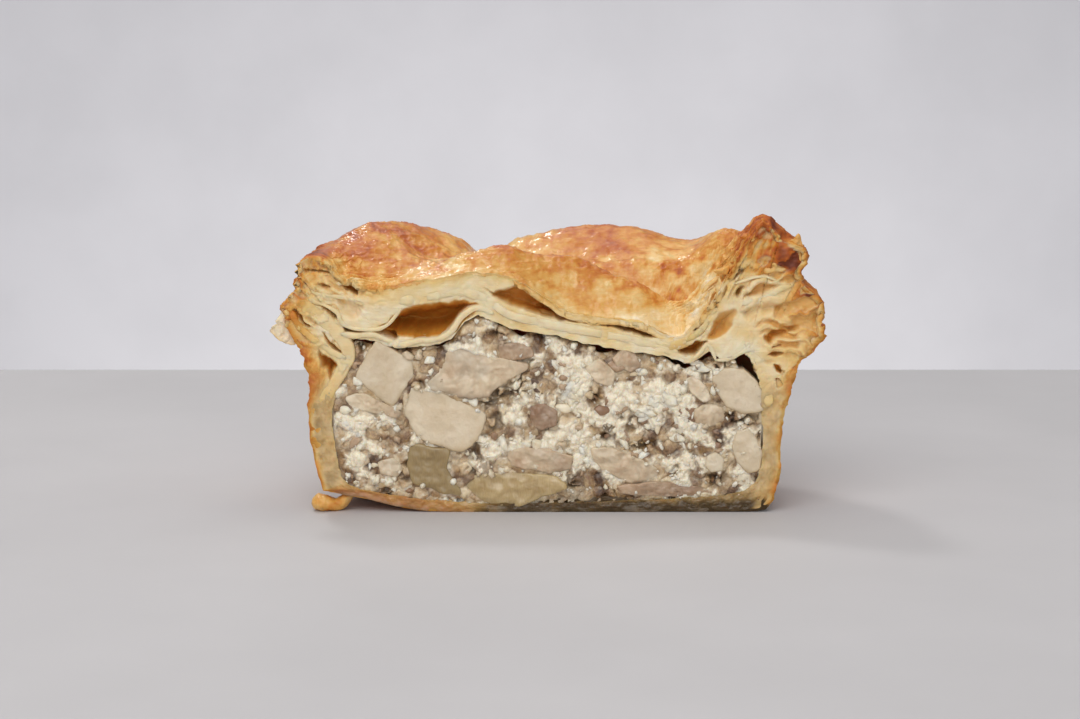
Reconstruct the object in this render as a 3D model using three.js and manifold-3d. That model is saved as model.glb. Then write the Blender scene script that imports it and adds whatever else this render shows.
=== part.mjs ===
// Half of a small deep mushroom pie, cut through the middle: a puff pastry case, a puffed lid with
// air pockets in its cut face, a crumbly cheese and mushroom filling, and the larger pieces of
// potato, onion and mushroom that show in the cut.
//
// Frame: millimetres, +X to the right along the cut face, +Y from the cut into the pie, +Z up. The
// origin is on the flat underside. The whole pie's upright axis lies in the cut plane, and most
// shapes are worked out in polar form about it: azimuth 0 is the right end of the cut, PI the left.

import * as THREE from "three";
import { mergeVertices } from "three/addons/utils/BufferGeometryUtils.js";
import Module from "manifold-3d";

const wasm = await Module();
wasm.setup();

// ---- driving dimensions, mm ----------------------------------------------------------------
const CUT_Y = -24; // the plane of the knife cut
const GAP = 0.35; // air left between neighbouring pieces
const BASE_THICKNESS = 3.6;

// Steps of the grids that the pastry and the filling are worked out on.
const INNER_STEPS = 13; // from the axis to the wall
const RIM_STEPS = 4; // from the wall to the rim's tip
const TURN_STEPS = 30; // round the back
const FILLING_TURN_STEPS = 15;

// Each side of the cut has its own section, as [radius, height] stations that outer and inner face
// share one to one: the base, its corner, the wall and the flared rim.
const CASE_OUTER = {
  right: [
    [0, 0], [15, 0], [30, 0], [42.5, 0], [45.6, 0.6], [46.8, 4], [47.2, 10], [48.2, 16],
    [48.5, 22], [49.3, 26.6], [50.4, 30], [53.4, 32.8], [56.2, 35.2],
  ],
  left: [
    [0, 0], [15, 0], [30, 0], [41.5, 0], [44, 1.2], [45.4, 5], [46.3, 11], [47.1, 17],
    [47.3, 22], [47.3, 27.4], [48, 31.4], [49.8, 35], [51.8, 39.4],
  ],
};
const CASE_INNER = {
  right: [
    [0, 3.6], [14, 3.6], [28, 3.7], [39.5, 4.1], [42.4, 5.4], [43.6, 8], [44, 13], [44.2, 18],
    [43.8, 23], [42.4, 27.4], [38.6, 32.6],
  ],
  left: [
    [0, 3.6], [14, 3.6], [28, 3.7], [38.6, 4.2], [41, 5.6], [42.1, 8.6], [42.6, 13], [43.2, 18],
    [42.3, 23], [39.6, 28], [37.2, 33],
  ],
};
const WALL_FOOT = 3; // station at which the inner face leaves the base
const WALL_TOP = 10; // station at which it meets the lid; from there the rim follows the lid

// The side of the lid's rim, from its lower outer corner to the top, as [radius, share of height].
const RIM_SIDE = {
  right: [[56, 0], [55.3, 0.22], [52.2, 0.43], [51.7, 0.64], [50.4, 0.84], [46, 1]],
  left: [[51.6, 0], [51.4, 0.24], [50.4, 0.48], [49.4, 0.7], [48.4, 0.88], [46.4, 1]],
};
const RIM_TIP_HEIGHT = { right: 36.4, left: 41 };

const PLEATS = { rim: 1.3, wall: 0.9 }; // reach of the slow waves in the pastry round the pie
const RAGGED = { rim: 0.7, wall: 0.5 }; // reach of the small ripples of its layers

// The lid's upper face: a level with puffed lobes and dips on it.
const LID_LEVEL = 47;
const LOBES = [
  // x, distance behind the cut, spread in x, spread in y, rise
  { x: -28, d: 22, sx: 15, sd: 10, rise: 7.5 }, // left dome
  { x: -37, d: 13, sx: 10, sd: 9, rise: 6.5 }, // its front shoulder
  { x: -23, d: 36, sx: 15, sd: 11, rise: 2 },
  { x: 6, d: 29, sx: 18, sd: 7, rise: 7 }, // right dome
  { x: 23, d: 25, sx: 14, sd: 13, rise: 4 },
  { x: -12, d: 31, sx: 4, sd: 22, rise: -3.5 }, // crease between the domes
  { x: -9, d: 5, sx: 11, sd: 6, rise: 7.5 }, // folded flap along the cut
  { x: 6, d: 8, sx: 6, sd: 3, rise: 3.5 },
  { x: 11, d: 1, sx: 18, sd: 4, rise: -8 }, // where the knife dragged the flap down
  { x: 28, d: 0, sx: 7, sd: 8, rise: -7.5 }, // dip right of the flap
  { x: 44, d: 3, sx: 6, sd: 13, rise: 12.5 }, // raised corner of the rim
  { x: 37, d: 18, sx: 6, sd: 13, rise: 6.5 },
  { x: -46, d: 1, sx: 6, sd: 10, rise: 4.5 },
  { x: -35, d: 0, sx: 7, sd: 6, rise: -2.5 },
  { x: 13, d: 13, sx: 20, sd: 4, rise: -5 }, // groove behind the flap
];
// The lid's lower face: a level, an arch over the filling and a sag at the right.
const UNDERSIDE = { level: 33.3, archX: -12.5, archRise: 6.9, archLeft: 5, archRight: 13, sagX: 28, sag: 2.6 };

// Air pockets that the cut opens: spine in [x, z], half height and depth.
const LID_POCKETS = [
  { spine: [[-31.5, 36.6], [-25.6, 39.3], [-20, 40.4], [-13.6, 42.6]], half: 2.9, depth: 17 },
  { spine: [[-12.4, 46.2], [-5.4, 44.9], [2.6, 41.3], [12, 39.9]], half: 1.8, depth: 9 },
  { spine: [[13.6, 38.4], [20, 37.3], [26, 35.4]], half: 0.9, depth: 7 },
  { spine: [[26.6, 33], [29.6, 33.5], [33, 36]], half: 0.9, depth: 6 },
  { spine: [[32.6, 38.6], [38, 40.8], [45.6, 42.6]], half: 2.2, depth: 9 },
  { spine: [[43.4, 36], [46.6, 38.2], [51.4, 39.6]], half: 1.2, depth: 8 },
  { spine: [[36.4, 47.4], [38.6, 48.8], [41, 49.4]], half: 0.9, depth: 6 },
  { spine: [[33.6, 43], [36, 46]], half: 0.9, depth: 6 },
  { spine: [[39.6, 44.4], [43.6, 46.2], [47.6, 46.8]], half: 1.1, depth: 6 },
  { spine: [[-41.4, 43.6], [-36.6, 41.4], [-32, 40.4]], half: 1.9, depth: 8 },
  { spine: [[-43.6, 47.6], [-39.6, 46.6], [-35, 44.6]], half: 0.8, depth: 6 },
  { spine: [[-49.4, 43.6], [-46.2, 42]], half: 0.9, depth: 6 },
];
const CASE_POCKETS = [
  { spine: [[-45.4, 32.6], [-43.9, 29.4], [-43.4, 26]], half: 1.3, depth: 8 },
  { spine: [[46.4, 30], [49.4, 32.4]], half: 0.7, depth: 5 },
];

// Larger pieces in the cut: centre, half width and height, tilt in degrees, squareness of the
// outline (2 is an ellipse, less is a diamond, more is a block) and depth.
const CHUNKS = {
  potato_upper_left: { x: -32.3, z: 28.2, w: 6.2, h: 6.9, tilt: 12, square: 1.35, depth: 11 },
  potato_middle_left: { x: -19.6, z: 19, w: 8.3, h: 5.2, tilt: -24, square: 2.8, depth: 12 },
  potato_upper_right: { x: 38.6, z: 24.6, w: 5, h: 4.7, tilt: -14, square: 2.9, depth: 10 },
  potato_lower_right: { x: 40.7, z: 12.6, w: 3.1, h: 4.4, tilt: -16, square: 2.4, depth: 8 },
  potato_small_right: { x: 34.1, z: 9.9, w: 1.9, h: 2, tilt: 20, square: 2.6, depth: 5 },
  onion_left: { x: -22.7, z: 8.6, w: 4.9, h: 5.3, tilt: 18, square: 3.2, depth: 9 },
  onion_base: { x: -6.6, z: 6.3, w: 10.2, h: 2.8, tilt: 2, square: 2.2, depth: 12 },
  mushroom_cap_slice: { x: -13.2, z: 29.2, w: 9.8, h: 4.3, tilt: 10, square: 2, depth: 9 },
  mushroom_block: { x: -6.1, z: 33.6, w: 3.5, h: 1.6, tilt: -5, square: 3.4, depth: 6 },
  mushroom_left_strip: { x: -37.4, z: 20.4, w: 4.4, h: 1.7, tilt: -24, square: 2.4, depth: 7 },
  mushroom_centre: { x: -0.6, z: 19.4, w: 2.8, h: 2.6, tilt: 0, square: 2.5, depth: 6 },
  mushroom_top_right: { x: 16.4, z: 30.6, w: 2.9, h: 1.8, tilt: -28, square: 3, depth: 6 },
  mushroom_long_slice: { x: -0.4, z: 10.6, w: 6, h: 2.3, tilt: -10, square: 2.4, depth: 9 },
  mushroom_right_slice: { x: 15.4, z: 8.6, w: 7.4, h: 3, tilt: -14, square: 2.2, depth: 9 },
  mushroom_pale_slice: { x: 30.5, z: 24.6, w: 2.9, h: 1.3, tilt: -40, square: 2.4, depth: 6 },
};
const CHUNK_SIDES = 12;

// Curds and mushroom crumbs fused on the filling's cut face.
const CRUMBS = { count: 74, least: 0.9, most: 2.1, left: -41, right: 42, tries: 6000, seed: 11 };
const FILLING_TOP = 32; // level of the filling where the lid arches clear of it
const DRIP = { x: -43.2, length: 4.6, depth: 3.4, height: 2.4 }; // crisp foot at the left

// ---- small tools ---------------------------------------------------------------------------
const { clamp, lerp, smoothstep } = THREE.MathUtils;

/** Seeded random numbers from 0 to 1. */
function randomFrom(seed) {
  let state = seed;
  return () => {
    state = (state * 1664525 + 1013904223) % 4294967296;
    return state / 4294967296;
  };
}

/** Right side's value at azimuth 0, left side's at PI, and a smooth mix round the back. */
function bySide(values, azimuth) {
  return lerp(values.right, values.left, (1 - Math.cos(azimuth)) / 2);
}

/** The point at step k of the left and right stations mixed for an azimuth, k whole or between two. */
function station(sides, k, azimuth) {
  const at = ({ [Math.floor(k)]: from, [Math.ceil(k)]: to }, axis) => lerp(from[axis], to[axis], k % 1);
  return [0, 1].map((axis) => bySide({ right: at(sides.right, axis), left: at(sides.left, axis) }, azimuth));
}

/** Slow waves round the pie that die out at the cut, from about -1 to 1. */
function pleats(azimuth, height) {
  const broad = Math.sin(5 * azimuth + 0.05 * height);
  const narrow = Math.sin(11 * azimuth + 1.3 + 0.1 * height);
  return (0.62 * broad + 0.38 * narrow) * Math.sin(azimuth);
}

/** Small layered ripples of baked pastry, from about -1 to 1. */
function flakes(azimuth, height) {
  const layers = Math.sin(1.35 * height + 3 * Math.sin(2.3 * azimuth));
  return 0.6 * layers + 0.4 * Math.sin(0.9 * height - 7 * azimuth);
}

/** Cartesian point of polar radius, azimuth and height. */
function polar(r, azimuth, z) {
  return [r * Math.cos(azimuth), CUT_Y + r * Math.sin(azimuth), z];
}

/** A closed manifold from loose triangles, turned to face outwards. */
function closed(points, triangles) {
  const geometry = new THREE.BufferGeometry();
  geometry.setAttribute("position", new THREE.BufferAttribute(new Float32Array(points.flat()), 3));
  geometry.setIndex(triangles.flat());
  const merged = mergeVertices(geometry, 1e-3);
  const index = merged.index.array;
  const kept = [];
  for (let i = 0; i < index.length; i += 3) {
    const [a, b, c] = [index[i], index[i + 1], index[i + 2]];
    if (a !== b && b !== c && c !== a) kept.push(a, b, c);
  }
  const build = (corners) =>
    new wasm.Manifold(
      new wasm.Mesh({
        numProp: 3,
        vertProperties: merged.attributes.position.array,
        triVerts: new Uint32Array(corners),
      }),
    );
  const solid = build(kept);
  if (solid.volume() > 0) return solid;
  for (let i = 0; i < kept.length; i += 3) [kept[i + 1], kept[i + 2]] = [kept[i + 2], kept[i + 1]];
  return build(kept);
}

/** The unit box's six faces as grids, carried to point(u, v, w): a solid of any bent, tapered form. */
function block(point, nu, nv, nw) {
  const points = [];
  const triangles = [];
  const face = (na, nb, place, flip) => {
    const first = points.length;
    for (let i = 0; i <= na; i++) for (let j = 0; j <= nb; j++) points.push(place(i / na, j / nb));
    for (let i = 0; i < na; i++)
      for (let j = 0; j < nb; j++) {
        const a = first + i * (nb + 1) + j;
        const b = a + nb + 1;
        const pair = [[a, b, b + 1], [a, b + 1, a + 1]];
        triangles.push(...pair.map(([p, q, r]) => (flip ? [p, r, q] : [p, q, r])));
      }
  };
  for (const side of [0, 1]) {
    face(nu, nv, (a, b) => point(a, b, side), side === 0);
    face(nv, nw, (a, b) => point(side, a, b), side === 0);
    face(nu, nw, (a, b) => point(a, side, b), side === 1);
  }
  return closed(points, triangles);
}

/** A tube of elliptical section along a spine in the cut plane, thinning to both ends. */
function spindle({ spine, half, depth }, lengthSteps = 8, roundSteps = 8) {
  const curve = new THREE.SplineCurve(spine.map(([x, z]) => new THREE.Vector2(x, z)));
  const points = [];
  const triangles = [];
  for (let i = 0; i <= lengthSteps; i++) {
    const t = i / lengthSteps;
    const centre = curve.getPoint(t);
    const tangent = curve.getTangent(clamp(t, 0.02, 0.98));
    const swell = Math.sqrt(Math.max(0, 1 - (2 * t - 1) ** 2));
    for (let j = 0; j < roundSteps; j++) {
      const turn = ((j + 0.5) / roundSteps) * 2 * Math.PI;
      const rise = half * swell * Math.cos(turn);
      points.push([
        centre.x - tangent.y * rise,
        CUT_Y + depth * Math.sqrt(swell) * swell * Math.sin(turn),
        centre.y + tangent.x * rise,
      ]);
    }
  }
  for (let i = 0; i < lengthSteps; i++)
    for (let j = 0; j < roundSteps; j++) {
      const a = i * roundSteps + j;
      const b = i * roundSteps + ((j + 1) % roundSteps);
      triangles.push([a, b, b + roundSteps], [a, b + roundSteps, a + roundSteps]);
    }
  return closed(points, triangles);
}

// ---- the pastry ------------------------------------------------------------------------------
/** Height of the lid's upper face, x along the cut and d behind it. */
function lidTop(x, d) {
  const rises = LOBES.map((l) => l.rise * Math.exp(-(((x - l.x) / l.sx) ** 2) - ((d - l.d) / l.sd) ** 2));
  return rises.reduce((z, rise) => z + rise, LID_LEVEL);
}

/** Radius and height of the lid's lower outer corner. */
function rimTip(azimuth) {
  const [r] = station(RIM_SIDE, 0, azimuth);
  return [r + PLEATS.rim * pleats(azimuth, 0), bySide(RIM_TIP_HEIGHT, azimuth) + pleats(azimuth, 20)];
}

/** Height of the lid's lower face at a radius: an arch over the filling, then out to the rim's tip. */
function lidUnderside(r, azimuth) {
  const x = r * Math.cos(azimuth);
  const d = r * Math.sin(azimuth);
  const { level, archX, archRise, archLeft, archRight, sagX, sag } = UNDERSIDE;
  const spread = x < archX ? archLeft : archRight;
  const arch = archRise * Math.exp(-(((x - archX) / spread) ** 2) - (d / 20) ** 2);
  const dip = sag * Math.exp(-(((x - sagX) / 5) ** 2) - (d / 12) ** 2);
  const [tipR, tipZ] = rimTip(azimuth);
  const [wallR] = station(CASE_INNER, WALL_TOP, azimuth);
  return lerp(level + arch - dip, tipZ, clamp((r - wallR) / (tipR - wallR), 0, 1));
}

/** Radius of the lid's lower face at step k: even steps to the wall, then even steps to the tip. */
function undersideRadius(k, azimuth) {
  const [wallR] = station(CASE_INNER, WALL_TOP, azimuth);
  const [tipR] = rimTip(azimuth);
  const out = (k - INNER_STEPS) / RIM_STEPS;
  return k < INNER_STEPS ? (k / INNER_STEPS) * wallR : lerp(wallR, tipR, out);
}

/** The lid: u from the axis to the rim, v from the underside to the top, w round the back. */
function lidPoint(u, v, w) {
  const azimuth = w * Math.PI;
  const lowR = undersideRadius(u * (INNER_STEPS + RIM_STEPS), azimuth);
  const [tipR] = rimTip(azimuth);
  const [sideR, share] = station(RIM_SIDE, v * (RIM_SIDE.right.length - 1), azimuth);
  const [topR] = station(RIM_SIDE, RIM_SIDE.right.length - 1, azimuth);
  const highR = (lowR / tipR) * (topR + PLEATS.rim * pleats(azimuth, 0));
  const low = lidUnderside(lowR, azimuth);
  const high = lidTop(highR * Math.cos(azimuth), highR * Math.sin(azimuth));
  const z = lerp(low, high, share);
  const [bottomR] = station(RIM_SIDE, 0, azimuth);
  const ragged = RAGGED.rim * flakes(azimuth, z) * Math.sin(Math.PI * v);
  const swell = sideR - lerp(bottomR, topR, share) + ragged;
  return polar(lerp(lowR, highR, share) + smoothstep(u, 0.8, 1) * swell, azimuth, z);
}

/** The case: u along base, wall and rim by stations, v from the outer face to the inner. */
function casePoint(u, v, w) {
  const azimuth = w * Math.PI;
  const last = CASE_OUTER.right.length - 1;
  const k = u * last;
  const [outerR, outerZ] = station(CASE_OUTER, k, azimuth);
  const wave = PLEATS.wall * pleats(azimuth, outerZ) + RAGGED.wall * flakes(azimuth, outerZ);
  const outer = [outerR + wave * smoothstep(k, WALL_FOOT, WALL_FOOT + 3), outerZ];
  const rimR = undersideRadius(INNER_STEPS + (RIM_STEPS * (k - WALL_TOP)) / (last - WALL_TOP), azimuth);
  const inner = k <= WALL_TOP ? station(CASE_INNER, k, azimuth) : [rimR, lidUnderside(rimR, azimuth) - GAP];
  return polar(lerp(outer[0], inner[0], v), azimuth, lerp(outer[1], inner[1], v));
}

/** A solid less each of the pockets. */
function hollowed(solid, pockets) {
  return pockets.reduce((rest, pocket) => rest.subtract(spindle(pocket)), solid);
}

/** The largest body of a solid, without the loose scraps that cutting can leave. */
function largest(solid) {
  return solid.decompose().sort((a, b) => b.volume() - a.volume())[0];
}

/** The crisp foot of pastry that ran out under the left end of the case: half a flattened ball. */
function drip() {
  const { x, length, depth, height } = DRIP;
  return block(
    (u, v, w) => {
      const turn = u * 2 * Math.PI;
      const lift = (v * Math.PI) / 2;
      const reach = w * Math.cos(lift);
      return [
        x + length * reach * Math.cos(turn),
        CUT_Y + depth + depth * reach * Math.sin(turn),
        height * w * Math.sin(lift),
      ];
    },
    12,
    3,
    1,
  );
}

// ---- the filling -----------------------------------------------------------------------------
/** Everything inside the case and under the lid, clear of both, with its top lowered by sink(x, d). */
function cavity(sink) {
  return block(
    (u, v, w) => {
      const azimuth = w * Math.PI;
      const [wallR, wallZ] = station(CASE_INNER, lerp(WALL_FOOT, WALL_TOP, v), azimuth);
      const [, footZ] = station(CASE_INNER, WALL_FOOT, azimuth);
      const [topR, topZ] = station(CASE_INNER, WALL_TOP, azimuth);
      const r = u * (wallR - GAP);
      const roofR = u * (topR - GAP);
      const floor = BASE_THICKNESS + GAP + smoothstep(r, 30, 42) * (footZ - BASE_THICKNESS);
      const sinking = sink(roofR * Math.cos(azimuth), roofR * Math.sin(azimuth)) * (1 - smoothstep(u, 0.7, 1));
      const top = lidUnderside(roofR, azimuth) - GAP - sinking;
      return polar(r, azimuth, lerp(floor, top, (wallZ - footZ) / (topZ - footZ)));
    },
    INNER_STEPS,
    WALL_TOP - WALL_FOOT,
    FILLING_TURN_STEPS,
  );
}

/** How far the filling's top has sunk from the lid: most near the cut, nothing deep inside. */
function sunk(x, d) {
  const arch = Math.max(0, lidUnderside(Math.hypot(x, d), Math.atan2(d, x)) - FILLING_TOP);
  const lumps = 0.8 + 0.7 * Math.sin(0.55 * x) * Math.cos(0.35 * d) + 0.5 * Math.sin(1.3 * x + 1);
  return Math.max(0, 0.6 * arch + lumps) * (1 - smoothstep(d, 4, 14));
}

/** One large piece: a superellipse in the cut plane, tapering and rounding off behind it. */
function chunk({ x, z, w, h, tilt, square, depth }, grow = 0) {
  const angle = THREE.MathUtils.degToRad(tilt);
  const rings = [
    { at: -0.15 - grow, size: 0.93 },
    { at: 0.5, size: 1 },
    { at: depth * 0.7, size: 0.9 },
    { at: depth, size: 0.6 },
  ];
  const points = [];
  const triangles = [];
  for (const ring of rings)
    for (let i = 0; i < CHUNK_SIDES; i++) {
      const turn = (i / CHUNK_SIDES) * 2 * Math.PI;
      const [c, s] = [Math.cos(turn), Math.sin(turn)];
      const reach = (Math.abs(c) ** square + Math.abs(s) ** square) ** (-1 / square);
      const uneven = 1 + 0.05 * Math.sin(3 * turn + x) + 0.04 * Math.sin(5 * turn + z);
      const a = (w * ring.size * uneven + grow) * reach * c;
      const b = (h * ring.size * uneven + grow) * reach * s;
      points.push([
        x + a * Math.cos(angle) - b * Math.sin(angle),
        CUT_Y + ring.at + (ring.at === depth ? grow : 0),
        z + a * Math.sin(angle) + b * Math.cos(angle),
      ]);
    }
  for (let k = 0; k < rings.length - 1; k++)
    for (let i = 0; i < CHUNK_SIDES; i++) {
      const a = k * CHUNK_SIDES + i;
      const b = k * CHUNK_SIDES + ((i + 1) % CHUNK_SIDES);
      triangles.push([a, b, b + CHUNK_SIDES], [a, b + CHUNK_SIDES, a + CHUNK_SIDES]);
    }
  const last = (rings.length - 1) * CHUNK_SIDES;
  for (let i = 1; i < CHUNK_SIDES - 1; i++) {
    triangles.push([0, i + 1, i]);
    triangles.push([last, last + i, last + i + 1]);
  }
  return closed(points, triangles);
}

/** A crumb: a twenty-sided ball with its corners pushed in and out. */
function crumb(x, z, size, draw) {
  const ball = mergeVertices(stripped(new THREE.IcosahedronGeometry(1, 0)), 1e-3);
  const position = ball.attributes.position;
  const points = [];
  for (let i = 0; i < position.count; i++) {
    const reach = size * (0.8 + 0.4 * draw());
    points.push([
      x + position.getX(i) * reach,
      CUT_Y + 0.25 * size + 0.8 * position.getY(i) * reach,
      z + position.getZ(i) * reach,
    ]);
  }
  const triangles = [];
  for (let i = 0; i < ball.index.count; i += 3) triangles.push([0, 1, 2].map((k) => ball.index.getX(i + k)));
  return closed(points, triangles);
}

/** A geometry with only its positions left. */
function stripped(geometry) {
  geometry.deleteAttribute("normal");
  geometry.deleteAttribute("uv");
  return geometry;
}

/** Whether a point of the cut plane lies in the hollow of the pastry with a margin to spare. */
function insideAtCut(x, z, margin) {
  const azimuth = x > 0 ? 0 : Math.PI;
  const steps = [...Array(WALL_TOP - WALL_FOOT).keys()].map((i) => WALL_FOOT + i);
  const [, footZ] = station(CASE_INNER, WALL_FOOT, azimuth);
  const roof = lidUnderside(Math.abs(x), azimuth) - GAP;
  if (z - margin < footZ + GAP || z + margin > roof) return false;
  return steps.every((k) => {
    const [r0, z0] = station(CASE_INNER, k, azimuth);
    const [r1, z1] = station(CASE_INNER, k + 1, azimuth);
    if (z + margin < z0 || z - margin > z1) return true;
    return Math.abs(x) + margin + GAP < Math.min(r0, r1);
  });
}

/** Crumbs scattered over the filling's cut face, largest first, none on a large piece or another crumb. */
function scatteredCrumbs() {
  const draw = randomFrom(CRUMBS.seed);
  const placed = [];
  const crumbs = [];
  const clearOfChunks = (x, z, size) =>
    Object.values(CHUNKS).every((c) => Math.hypot((x - c.x) / (c.w + size), (z - c.z) / (c.h + size)) > 1);
  for (let tries = 0; tries < CRUMBS.tries && crumbs.length < CRUMBS.count; tries++) {
    const size = lerp(CRUMBS.most, CRUMBS.least, crumbs.length / CRUMBS.count);
    const x = lerp(CRUMBS.left, CRUMBS.right, draw());
    const z = lerp(BASE_THICKNESS, FILLING_TOP, draw());
    const clearOfCrumbs = placed.every((p) => Math.hypot(x - p.x, z - p.z) > 0.8 * (size + p.size));
    if (!insideAtCut(x, z, 1.2 * size) || !clearOfCrumbs || !clearOfChunks(x, z, size)) continue;
    placed.push({ x, z, size });
    crumbs.push(crumb(x, z, size, draw));
  }
  return crumbs;
}

// ---- assembly --------------------------------------------------------------------------------
/** A named mesh of a solid, in its own material. */
function piece(name, solid, color, roughness) {
  const data = solid.getMesh();
  const geometry = new THREE.BufferGeometry();
  geometry.setAttribute("position", new THREE.BufferAttribute(data.vertProperties, 3));
  geometry.setIndex(new THREE.BufferAttribute(data.triVerts, 1));
  geometry.computeVertexNormals();
  const mesh = new THREE.Mesh(geometry, new THREE.MeshStandardMaterial({ color, roughness, metalness: 0 }));
  mesh.name = name;
  return mesh;
}

const COLOURS = {
  lid: 0xd09458,
  case: 0xba9a72,
  filling: 0xb8a58d,
  potato: 0xccbaa0,
  onion: 0x9c825c,
  mushroom: 0xa8917a,
};

const interior = cavity(() => 0);
const lid = block(lidPoint, INNER_STEPS + RIM_STEPS, RIM_SIDE.right.length - 1, TURN_STEPS);
const shell = block(casePoint, 2 * (CASE_OUTER.right.length - 1), 1, TURN_STEPS);
const pie = new THREE.Group();
pie.add(piece("pastry_lid", largest(hollowed(lid, LID_POCKETS)), COLOURS.lid, 0.45));
pie.add(piece("pastry_case", largest(hollowed(shell, CASE_POCKETS).add(drip())), COLOURS.case, 0.6));

let filling = cavity(sunk);
for (const shape of scatteredCrumbs()) filling = filling.add(shape);
let room = interior; // what earlier pieces leave free for the next
for (const [name, shape] of Object.entries(CHUNKS)) {
  const kind = name.split("_")[0];
  pie.add(piece(name, largest(chunk(shape).intersect(room)), COLOURS[kind], 0.5));
  room = room.subtract(chunk(shape, GAP));
  filling = filling.subtract(chunk(shape, GAP));
}
pie.add(piece("filling", largest(filling), COLOURS.filling, 0.55));

export default pie;
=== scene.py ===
"""Half of a puff pastry mushroom pie, cut through the middle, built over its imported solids.

Shapes are worked out in millimetres as x along the cut, d behind the cut and z up, and are turned to
the row's frame when they become meshes. The whole pie's upright axis is at x = 0, d = 0.
"""

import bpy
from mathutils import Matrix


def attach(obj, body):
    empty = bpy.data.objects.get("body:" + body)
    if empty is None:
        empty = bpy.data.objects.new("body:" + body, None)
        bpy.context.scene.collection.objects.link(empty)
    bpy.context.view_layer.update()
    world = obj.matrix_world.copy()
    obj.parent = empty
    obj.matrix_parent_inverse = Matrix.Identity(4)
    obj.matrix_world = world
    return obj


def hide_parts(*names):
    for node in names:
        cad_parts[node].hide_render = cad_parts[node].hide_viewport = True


bl_info = {
    "name": "Mushroom pie half",
    "version": (1, 0, 0),
    "blender": (4, 5, 0),
    "location": "View3D > Sidebar > Pie",
    "description": "Builds half of a puff pastry mushroom pie, piece by piece, over its packed solids",
    "category": "Add Mesh",
}

import bpy
import numpy as np

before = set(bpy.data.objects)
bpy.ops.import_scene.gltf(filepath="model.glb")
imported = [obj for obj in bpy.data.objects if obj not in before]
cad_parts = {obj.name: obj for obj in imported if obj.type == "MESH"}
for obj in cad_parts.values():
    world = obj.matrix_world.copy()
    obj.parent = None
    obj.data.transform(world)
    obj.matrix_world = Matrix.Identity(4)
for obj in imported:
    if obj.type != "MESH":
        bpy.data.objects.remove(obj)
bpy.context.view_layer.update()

CUT_Y = -24.0  # the plane of the knife cut, mm in the row's frame
MM_PER_M = 1000.0
HALF_TURN = np.pi

# ---- sections, mm ---------------------------------------------------------------------------
# Stations of the case as (radius, height), outer and inner face one to one, for each end of the cut.
CASE_OUTER = (
    [(0, 0), (15, 0), (30, 0), (41, 0.1), (44.6, 0.5), (46.2, 2.6), (46.9, 7), (47.3, 12), (48, 17),
     (48.2, 20), (48.9, 23.6), (49.4, 27), (50.6, 30.4), (53.2, 32.8), (56, 36)],
    [(0, 0), (15, 0), (30, 0.3), (40, 0.5), (43.4, 1.4), (44.9, 4), (45.5, 8), (46.6, 13), (47, 17.6),
     (47.2, 20.6), (47.3, 24), (47, 27), (48.2, 31.6), (49.8, 34.6), (51.6, 39.6)],
)
CASE_INNER = (
    [(0, 2.8), (15, 3), (30, 3.4), (38.6, 3.9), (41.6, 5), (43, 7), (43.6, 10), (44, 13.5), (44.2, 17),
     (44.2, 20), (43.8, 23), (46.6, 27), (49, 30.8), (52, 33.6), (54.8, 37)],
    [(0, 2.6), (15, 2.8), (30, 3), (37.4, 3.6), (40.2, 4.8), (41.4, 7), (41.8, 10), (42.4, 14),
     (42.8, 17.6), (42.8, 20.6), (42.4, 24), (45, 27), (46.4, 31.6), (47.8, 35), (49.8, 39.8)],
)
# Outer side of the lid's rim from its tip to the top, as (radius, height).
RIM_SIDE = (
    [(56, 36.2), (55.3, 38.6), (55.5, 41.2), (54.6, 43.4), (52.6, 45.6), (51.3, 47), (51.2, 49),
     (51.8, 51.9), (50.8, 54.6), (48.4, 56), (46.6, 57.6), (45, 59.2)],
    [(51.6, 39.8), (52, 41), (51.7, 42.6), (51.2, 44.2), (50.6, 45.8), (50.2, 47.2), (49.6, 48.6),
     (48.9, 50), (48.5, 51), (47.9, 51.8), (46.9, 52.3), (45.6, 52.6)],
)
STRIP_DEPTH = 18.0  # how far back the finely made strip of the crust reaches
STRIP_RADIUS = 44.6  # how far out it reaches
LID_LEVEL = 47.0  # the height that the lid's lobes rise from
WALL_RADIUS, RIM_RADIUS = 47.0, 50.0  # turn azimuths into mm along the case's wall and the lid's rim
LEAF_RADIUS = 52.0  # leaves draw in towards the back as a circle of that radius does
# Lobes and dips of the lid's top: x, d, spread in x, spread in d, rise.
LOBES = np.array([
    (-28, 22, 15, 10, 7.5), (-37, 13, 10, 9, 6.5), (-23, 36, 15, 11, 2), (6, 29, 18, 7, 7),
    (23, 25, 14, 13, 4), (-12, 31, 4, 22, -3.5), (-9, 5, 11, 6, 7.5), (6, 8, 6, 3, 3.5),
    (11, 1, 18, 4, -8), (27, 3, 7, 9.5, -8.6), (44, 3, 6, 13, 12.5), (37, 18, 6, 13, 6.5),
    (-46, 1, 6, 10, 4.5), (-35, 0, 7, 6, -2.5), (13, 12, 22, 2, -8),
])
# The lid's lower edge in the cut, (x, z).
UNDERSIDE = [
    (-44, 36), (-39, 35.2), (-31, 33.6), (-25.6, 33.8), (-21.6, 34.2), (-18.8, 35.2), (-16.2, 38.6),
    (-13.4, 40.2), (-11, 39.4), (-9, 38.2), (-4.4, 36.8), (2.2, 36), (9, 34.2), (15.4, 33), (23.8, 32),
    (28, 30.4), (32.8, 32.6), (38, 31.6), (42, 33), (46, 35),
]
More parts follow.
